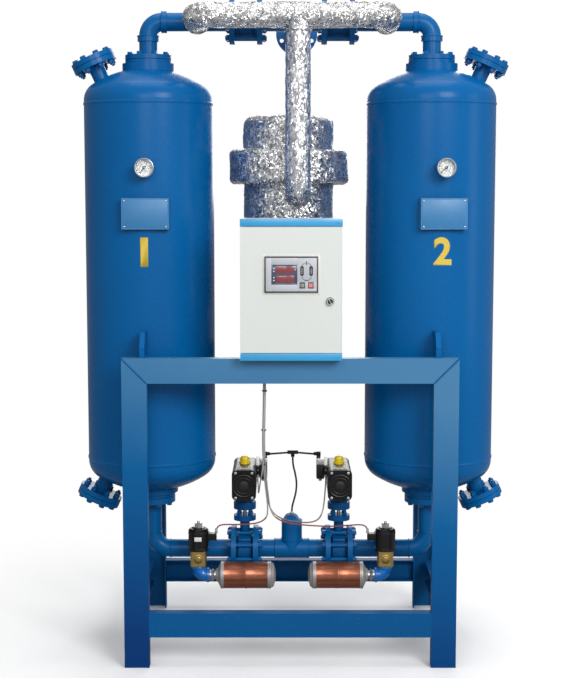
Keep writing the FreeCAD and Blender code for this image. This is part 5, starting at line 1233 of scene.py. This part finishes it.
LEFT_ACTUATOR_X, RIGHT_ACTUATOR_X = PIPE_MID_X - DISC_REACH, PIPE_MID_X + DISC_REACH
make_actuator_trim("left", LEFT_ACTUATOR_X, 1, "left_disc")
make_actuator_trim("right", RIGHT_ACTUATOR_X, -1, "right_disc")
make_pilot_trim("left", LEFT_ACTUATOR_X, 1)
make_pilot_trim("right", RIGHT_ACTUATOR_X, -1)


# Purge valves and silencers

def add_rounded(bm, low, high, corner, edge):
    """Block with large upright corners and an eased upper rim, as a coil moulding has."""
    edges = create_block(bm, low, high)
    ease(bm, [e for e in edges if abs(e.verts[0].co.z - e.verts[1].co.z) > 0.0001], corner, 10)
    top = max(bm.faces, key=lambda f: len(f.verts) * 10 + f.calc_center_median().z)
    ease(bm, top.edges, edge)


def make_purge_trim(name, x, side):
    """side points from the purge valve to its silencer."""
    y, z = PURGE_Y, SILENCER_Z
    brass = bmesh.new()
    add_drum(brass, (x, y - 31, 380), (0, -1, 0), 40, 6, 40, 1.4)
    add_drum(brass, (x, y - 36.5, 380), (0, -1, 0), 30, 5, 40, 2.0, 22)
    add_drum(brass, (x, y, 409), (0, 0, 1), 56, 6, 48, 1.2)
    add_hex(brass, (x, y, 349), (0, 0, -1), 57, 9)
    add_hex(brass, (x, y + 42, 384), (0, -1, 0), 50, 10)
    for dx in (-24, 24):
        for dy in (-24, 24):
            add_drum(brass, (x + dx, y + dy, 408), (0, 0, 1), 10, 5, 20, 0.8)
    finish_piece(name + "_purge_brass", brass, BRASS, "skid")
    coil = bmesh.new()
    add_rounded(coil, (x - 43.2, y - 41.2, 413.4), (x + 43.2, y + 41.2, 424), 35, 1.0)
    finish_piece(name + "_coil_foot", coil, COIL_RESIN, "skid")
    coil = bmesh.new()
    add_rounded(coil, (x - 42.8, y - 40.8, 486), (x + 42.8, y + 40.8, 492), 34.6, 1.0)
    finish_piece(name + "_coil_seam", coil, COIL_RESIN, "skid")
    coil = bmesh.new()
    add_drum(coil, (x, y, 505.4), (0, 0, 1), 58, 4.5, 48, 2.0, 52)
    plug_end = x + side * 76
    x0, x1 = sorted((x + side * 43, plug_end))
    add_block(coil, (x0, y - 14.6, 455.4), (x1, y + 14.6, 484.4), 2.4, segments=3)
    x0, x1 = sorted((x + side * 40, x + side * 47))
    add_block(coil, (x0, y - 17, 452), (x1, y + 17, 488), 1.4)
    finish_piece(name + "_purge_coil_form", coil, COIL_RESIN, "skid")
    if side > 0:
        label = bmesh.new()
        add_block(label, (x - 15, y - 41.0, 457), (x + 15, y - 38.8, 475), 0.3)
        finish_piece(name + "_purge_blank_label", label, WHITE_PLASTIC, "skid")
    metal = bmesh.new()
    add_drum(metal, (x, y, 508.6), (0, 0, 1), 36, 2.4, 36)
    add_hex(metal, (x, y, 508), (0, 0, 1), 30.6, 20.6)
    add_drum(metal, (x, y, 528), (0, 0, 1), 12, 9, 24, 1.2)
    add_drum(metal, (plug_end, y, 470), (side, 0, 0), 6, 1.6, 18, 0.4)
    finish_piece(name + "_purge_nut", metal, BRIGHT_STEEL, "skid")
    elbow = bmesh.new()
    add_drum(elbow, (x, y, 345), (0, 0, -1), 62, 12, 48, 3.0)
    add_drum(elbow, (x + side * 45.2, y, z), (-side, 0, 0), 62, 13, 48, 3.0)
    finish_piece(name + "_elbow_rims", elbow, ELBOW_PAINT, "skid")


def make_silencer(name, x, side):
    """Can with two coned ends on a hexagon nipple; it stands for the plain CAD silencer."""
    y, z = PURGE_Y, SILENCER_Z
    start = x + side * 45
    axis = (side, 0, 0)
    parts = bmesh.new()
    add_drum(parts, (start, y, z), axis, 42, 9, 36, 0.8)
    add_hex(parts, (start + side * 8, y, z), axis, 44, 12)
    add_drum(parts, (start + side * 19, y, z), axis, 36, 10, 36, 0.6)
    nipple = finish_piece(name + "_nipple", parts, BRIGHT_STEEL, "skid")
    cones = bmesh.new()
    add_lathe(cones, [(0, 28), (24, 28), (27, 31), (30, 37), (52, 47), (54, 49), (57.8, 50), (57.8, 55),
                      (56.4, 56), (56.4, 59), (57.8, 60), (57.8, 63), (0, 63)], (start, y, z), axis, 72)
    add_lathe(cones, [(0, 247), (57.8, 247), (57.8, 251), (56.4, 252), (56.4, 255), (57.8, 256),
                      (57.8, 260), (54, 262), (48, 272), (20, 280), (0, 281)], (start, y, z), axis, 72)
    ends = finish_piece(name + "_cones", cones, CONE_METAL, "skid", 35)
    can = bmesh.new()
    add_lathe(can, [(0, 60), (57, 60), (57, 63), (56, 65), (56, 151), (57.4, 153), (57.4, 157),
                    (56, 159), (56, 245), (57, 247), (57, 250), (0, 250)], (start, y, z), axis, 96)
    finish = finish_piece(name + "_can", can, COPPER_CAN, "skid", 35)
    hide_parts(name)
    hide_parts(name)
    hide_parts(name)


LEFT_PURGE_X, RIGHT_PURGE_X = PIPE_MID_X - PURGE_REACH, PIPE_MID_X + PURGE_REACH
make_purge_trim("left", LEFT_PURGE_X, 1)
make_purge_trim("right", RIGHT_PURGE_X, -1)
make_silencer("left_silencer", LEFT_PURGE_X, 1)
make_silencer("right_silencer", RIGHT_PURGE_X, -1)


# Foil round the hot air header, its leg and the heater

SWELL_SIZE, FOLD_SIZE, CREASE_SIZE, FINE_CREASE_SIZE = 6.5, 21.0, 40.0, 85.0


def crumple(bm, swell, fold, dent):
    """Slow swelling, folds and sharp creases, moved along the surface normals, always outwards."""
    bmesh.ops.recalc_face_normals(bm, faces=bm.faces[:])
    bm.normal_update()
    moves = []
    for vert in bm.verts:
        p = vert.co
        slow = max(0.0, noise.noise(p * SWELL_SIZE + Vector((7.7, 2.9, 0.4))) * 1.5 + 0.25)
        soft = noise.noise(p * FOLD_SIZE) * 0.5 + 0.5
        crease = 1 - min(1.0, abs(noise.noise(p * CREASE_SIZE + Vector((3.1, 1.7, 5.3)))) * 3.2)
        sharp = 1 - min(1.0, abs(noise.noise(p * FINE_CREASE_SIZE + Vector((1.3, 8.1, 2.6)))) * 3.0)
        moves.append(vert.normal * (slow * swell + soft * fold + (crease + sharp * 0.5) * dent) * MM)
    for vert, move in zip(bm.verts, moves):
        vert.co += move


def foil_sleeve(name, points, bend, diameter):
    """Wrapped tube along straight runs with round corners, each a quarter turn of one curve span."""
    round_handle, run_handle, end_handle = 0.552, 0.8, 0.2
    curve = bpy.data.curves.new(name, "CURVE")
    curve.dimensions = "3D"
    curve.bevel_depth = diameter / 2 * MM
    curve.bevel_resolution = 10
    curve.resolution_u = 44
    curve.use_fill_caps = True
    route = [Vector(p) for p in points]
    knots = [(route[0], route[0], route[0] + (route[1] - route[0]) * end_handle)]
    for before, corner, after in zip(route, route[1:], route[2:]):
        inward = (before - corner).normalized()
        onward = (after - corner).normalized()
        first, last = corner + inward * bend, corner + onward * bend
        knots.append((first + inward * bend * run_handle, first, first - inward * bend * round_handle))
        knots.append((last - onward * bend * round_handle, last, last + onward * bend * run_handle))
    knots.append((route[-1] + (route[-2] - route[-1]) * end_handle, route[-1], route[-1]))
    spline = curve.splines.new("BEZIER")
    spline.bezier_points.add(len(knots) - 1)
    for point, (left, middle, right) in zip(spline.bezier_points, knots):
        point.handle_left_type = point.handle_right_type = "FREE"
        point.handle_left, point.co, point.handle_right = left * MM, middle * MM, right * MM
    holder = bpy.data.objects.new(name + "_path", curve)
    bpy.context.collection.objects.link(holder)
    bpy.context.view_layer.update()
    depsgraph = bpy.context.evaluated_depsgraph_get()
    mesh = bpy.data.meshes.new_from_object(holder.evaluated_get(depsgraph))
    bpy.data.objects.remove(holder)
    bm = bmesh.new()
    bm.from_mesh(mesh)
    bmesh.ops.remove_doubles(bm, verts=bm.verts[:], dist=1e-5)
    crumple(bm, 2.0, 2.4, 1.8)
    return bm


def make_hot_header_foil():
    z, y = TOP_PIPE_Z, HEADER_Y
    left, right = PIPE_MID_X - HEADER_REACH, PIPE_MID_X + HEADER_REACH
    bend, girth, foot_z = 62, 97, 1904
    runs = [(left, 0, z), (left, y, z), (right, y, z), (right, 0, z)]
    loop = foil_sleeve("header_foil", runs, bend, girth)
    piece = finish_piece("header_foil", loop, FOIL, "skid", 24)
    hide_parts("hot_air_header")
    runs = [(LEG_X, y, z - 20), (LEG_X, y, foot_z), (LEG_X, -120, foot_z)]
    leg = foil_sleeve("leg_foil", runs, bend, girth)
    piece = finish_piece("leg_foil", leg, DRAWN_FOIL, "skid", 24)
    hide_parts("hot_air_header")
    laps = bmesh.new()
    add_ring(laps, (LEG_X, y, z - 61), (0, 0, 1), 104, 8, 90)
    for x in (left, right):
        add_ring(laps, (x, -44, z), (0, 1, 0), 102, 5, 90)
    crumple(laps, 1.0, 1.2, 1.6)
    finish_piece("foil_laps", laps, FOIL, "skid", 40)


HEATER_X, HEATER_Y = -6, 40
FOIL_STEP = 7


def cladding(name, profile, swell, fold, dent, steps=230):
    """Foil round the upright heater, from its (radius, height) outline."""
    bm = bmesh.new()
    add_lathe(bm, profile, (HEATER_X, HEATER_Y, 0), (0, 0, 1), steps)
    crumple(bm, swell, fold, dent)
    finish_piece(name, bm, SHELL_FOIL, "skid", 28)


def heights(low, high, step=FOIL_STEP):
    """Places near a step apart on a rising run, and only the two ends of a falling one."""
    count = max(1, round((high - low) / step))
    return [low + (high - low) * k / count for k in range(count + 1)]


def make_heater_cladding():
    """Foil over the heater shell, its flange and its head, with a pressed-in round cap in front."""
    shell_r, band_r, head_r = 184, 245, 179
    shell = [(shell_r, z) for z in heights(1432, 1957)]
    cladding("heater_shell_foil", [(160, 1430)] + shell + [(170, 1958)], 6.0, 2.0, 2.0)
    band = ([(r, 1954) for r in heights(184, 232)] + [(241, 1960)]
            + [(band_r, z) for z in heights(1970, 2072)] + [(241, 2081)]
            + [(r, 2086) for r in heights(232, 180)])
    cladding("heater_band_foil", band, 9.0, 2.0, 2.2, 300)
    head = ([(head_r, z) for z in heights(2084, 2196)] + [(177, 2208), (168, 2218)]
            + [(r, 2224) for r in heights(158, 6, 8)] + [(0, 2224)])
    cladding("heater_head_foil", head, 8.0, 2.0, 2.2)
    bm = bmesh.new()
    axis = (-0.42, -0.91, 0)
    add_drum(bm, (-106, -180, 2034), axis, 60, 11, 40, 3.0, 52)
    add_ring(bm, (-110.4, -189.6, 2034), axis, 34, 7, 48)
    add_drum(bm, (-109, -187, 2034), axis, 14, 9, 24, 3.0, 8)
    crumple(bm, 1.0, 1.6, 1.6)
    finish_piece("pressed_cap", bm, SHELL_FOIL, "skid", 40)


make_hot_header_foil()
make_heater_cladding()


# Pipework details

def make_pipe_details():
    bm = bmesh.new()
    for x in (PIPE_MID_X - CHECK_REACH, PIPE_MID_X + CHECK_REACH):
        for end in (-30, 30):
            add_ring(bm, (x + end, 0, TOP_PIPE_Z), (1, 0, 0), 121, 6, 56)
        add_hex(bm, (x, 0, TOP_PIPE_Z + 59), (0, 0, 1), 32, 15)
    for x in (PIPE_MID_X - DISC_REACH, PIPE_MID_X + DISC_REACH):
        for end in (-26, 26):
            add_ring(bm, (x + end, 0, LOW_PIPE_Z), (1, 0, 0), 139, 5, 56)
        add_drum(bm, (x, 0, 316), (0, 0, -1), 34, 8, 36, 1.5)
        for dy in (-52, 52):
            add_drum(bm, (x - 26, dy, 432), (1, 0, 0), 20, 52, 24, 1.2)
    finish_piece("valve_castings", bm, VALVE_PAINT, "skid")
    bm = bmesh.new()
    add_ring(bm, (PIPE_MID_X, 0, 508), (0, 0, 1), 87, 4, 48)
    for x in (PIPE_MID_X - 72.5, PIPE_MID_X + 72.5):
        add_ring(bm, (x, 0, LOW_PIPE_Z), (1, 0, 0), 82, 5, 48)
    add_ring(bm, (PIPE_MID_X, 0, 425), (0, 0, 1), 90, 6, 48)
    add_ring(bm, (LEG_X, 320, 2562), (0, 0, 1), 67, 5, 40)
    finish_piece("tee_welds", bm, PIPE_PAINT, "skid", 60)
    bm = bmesh.new()
    add_hex(bm, (PIPE_MID_X, 0, 529), (0, 0, 1), 17, 9)
    add_drum(bm, (PIPE_MID_X, 0, 538), (0, 0, 1), 15, 7, 28, 1.0, 12)
    add_hex(bm, (12, 0, 789), (0, 0, -1), 14, 6)
    finish_piece("hose_fittings", bm, BRIGHT_STEEL, "skid")


def make_frame_details():
    """Weld seams along the front mitres and beads on both flanks of the gussets."""
    seam_beads, gusset_beads, gusset_half, bead_z = 34, 6, 11, 1262.5
    bm = bmesh.new()
    for side in (-1, 1):
        start = Vector((side * 669, -434, 1260))
        end = Vector((side * 571, -434, 1162))
        add_drum(bm, start, end - start, 7.0, (end - start).length, 16)
        for k in range(seam_beads):
            place = start.lerp(end, (k + 0.5) / seam_beads)
            add_drum(bm, place, (0, -1, 0), 7.6, 2.6, 12, 0.8, 5.0)
        for y, inner in ((-432, 1), (432, -1)):
            for k in range(gusset_beads):
                for flank in (-1, 1):
                    place = (side * TOWER_X + flank * gusset_half, y + inner * (24 + k * 8), bead_z)
                    add_drum(bm, place, (flank * 0.7, 0, 0.7), 8, 2.5, 12, 0.6, 6)
    finish_piece("frame_weld_seams", bm, FRAME_PAINT, "skid", 50)


make_pipe_details()
make_frame_details()


# Floor that fades to the white background for the camera, with the object's shadow on it

def make_floor():
    floor_radius, floor_drop = 9.0, 0.0005
    fade_from, fade_to = 0.9, 2.4
    seen_share, bounced_share = 0.62, 0.38
    bm = bmesh.new()
    bmesh.ops.create_circle(bm, cap_ends=True, segments=96, radius=floor_radius)
    mesh = bpy.data.meshes.new("studio_floor")
    bm.to_mesh(mesh)
    bm.free()
    floor = bpy.data.objects.new("studio_floor", mesh)
    floor.location = (0, 0, -floor_drop)
    bpy.context.collection.objects.link(floor)
    material, tree, shader = new_material("pale floor")
    shader.inputs["Roughness"].default_value = 0.9
    place = object_place(tree)
    seen = tree.nodes.new("ShaderNodeLightPath").outputs["Is Camera Ray"]
    fade = tree.nodes.new("ShaderNodeMapRange")
    fade.interpolation_type = "SMOOTHSTEP"
    feed(tree, fade.inputs[:3], (vector_node(tree, "LENGTH", place)["Value"], fade_from, fade_to))
    tint = map_node(tree, noise_node(tree, place, 40.0, 2.0), 0.0, 1.0, 0.90, 0.94)
    level = math_node(tree, "MULTIPLY", seen, seen_share)
    level = math_node(tree, "ADD", level, bounced_share)
    tree.links.new(math_node(tree, "MULTIPLY", tint, level), shader.inputs["Base Color"])
    glow = tree.nodes.new("ShaderNodeEmission")
    glow.inputs["Strength"].default_value = 1.0
    mask = math_node(tree, "MULTIPLY", fade.outputs["Result"], seen)
    mix = tree.nodes.new("ShaderNodeMixShader")
    feed(tree, mix.inputs, (mask, shader.outputs[0], glow.outputs[0]))
    tree.links.new(mix.outputs[0], tree.nodes["Material Output"].inputs["Surface"])
    mesh.materials.append(material)


make_floor()
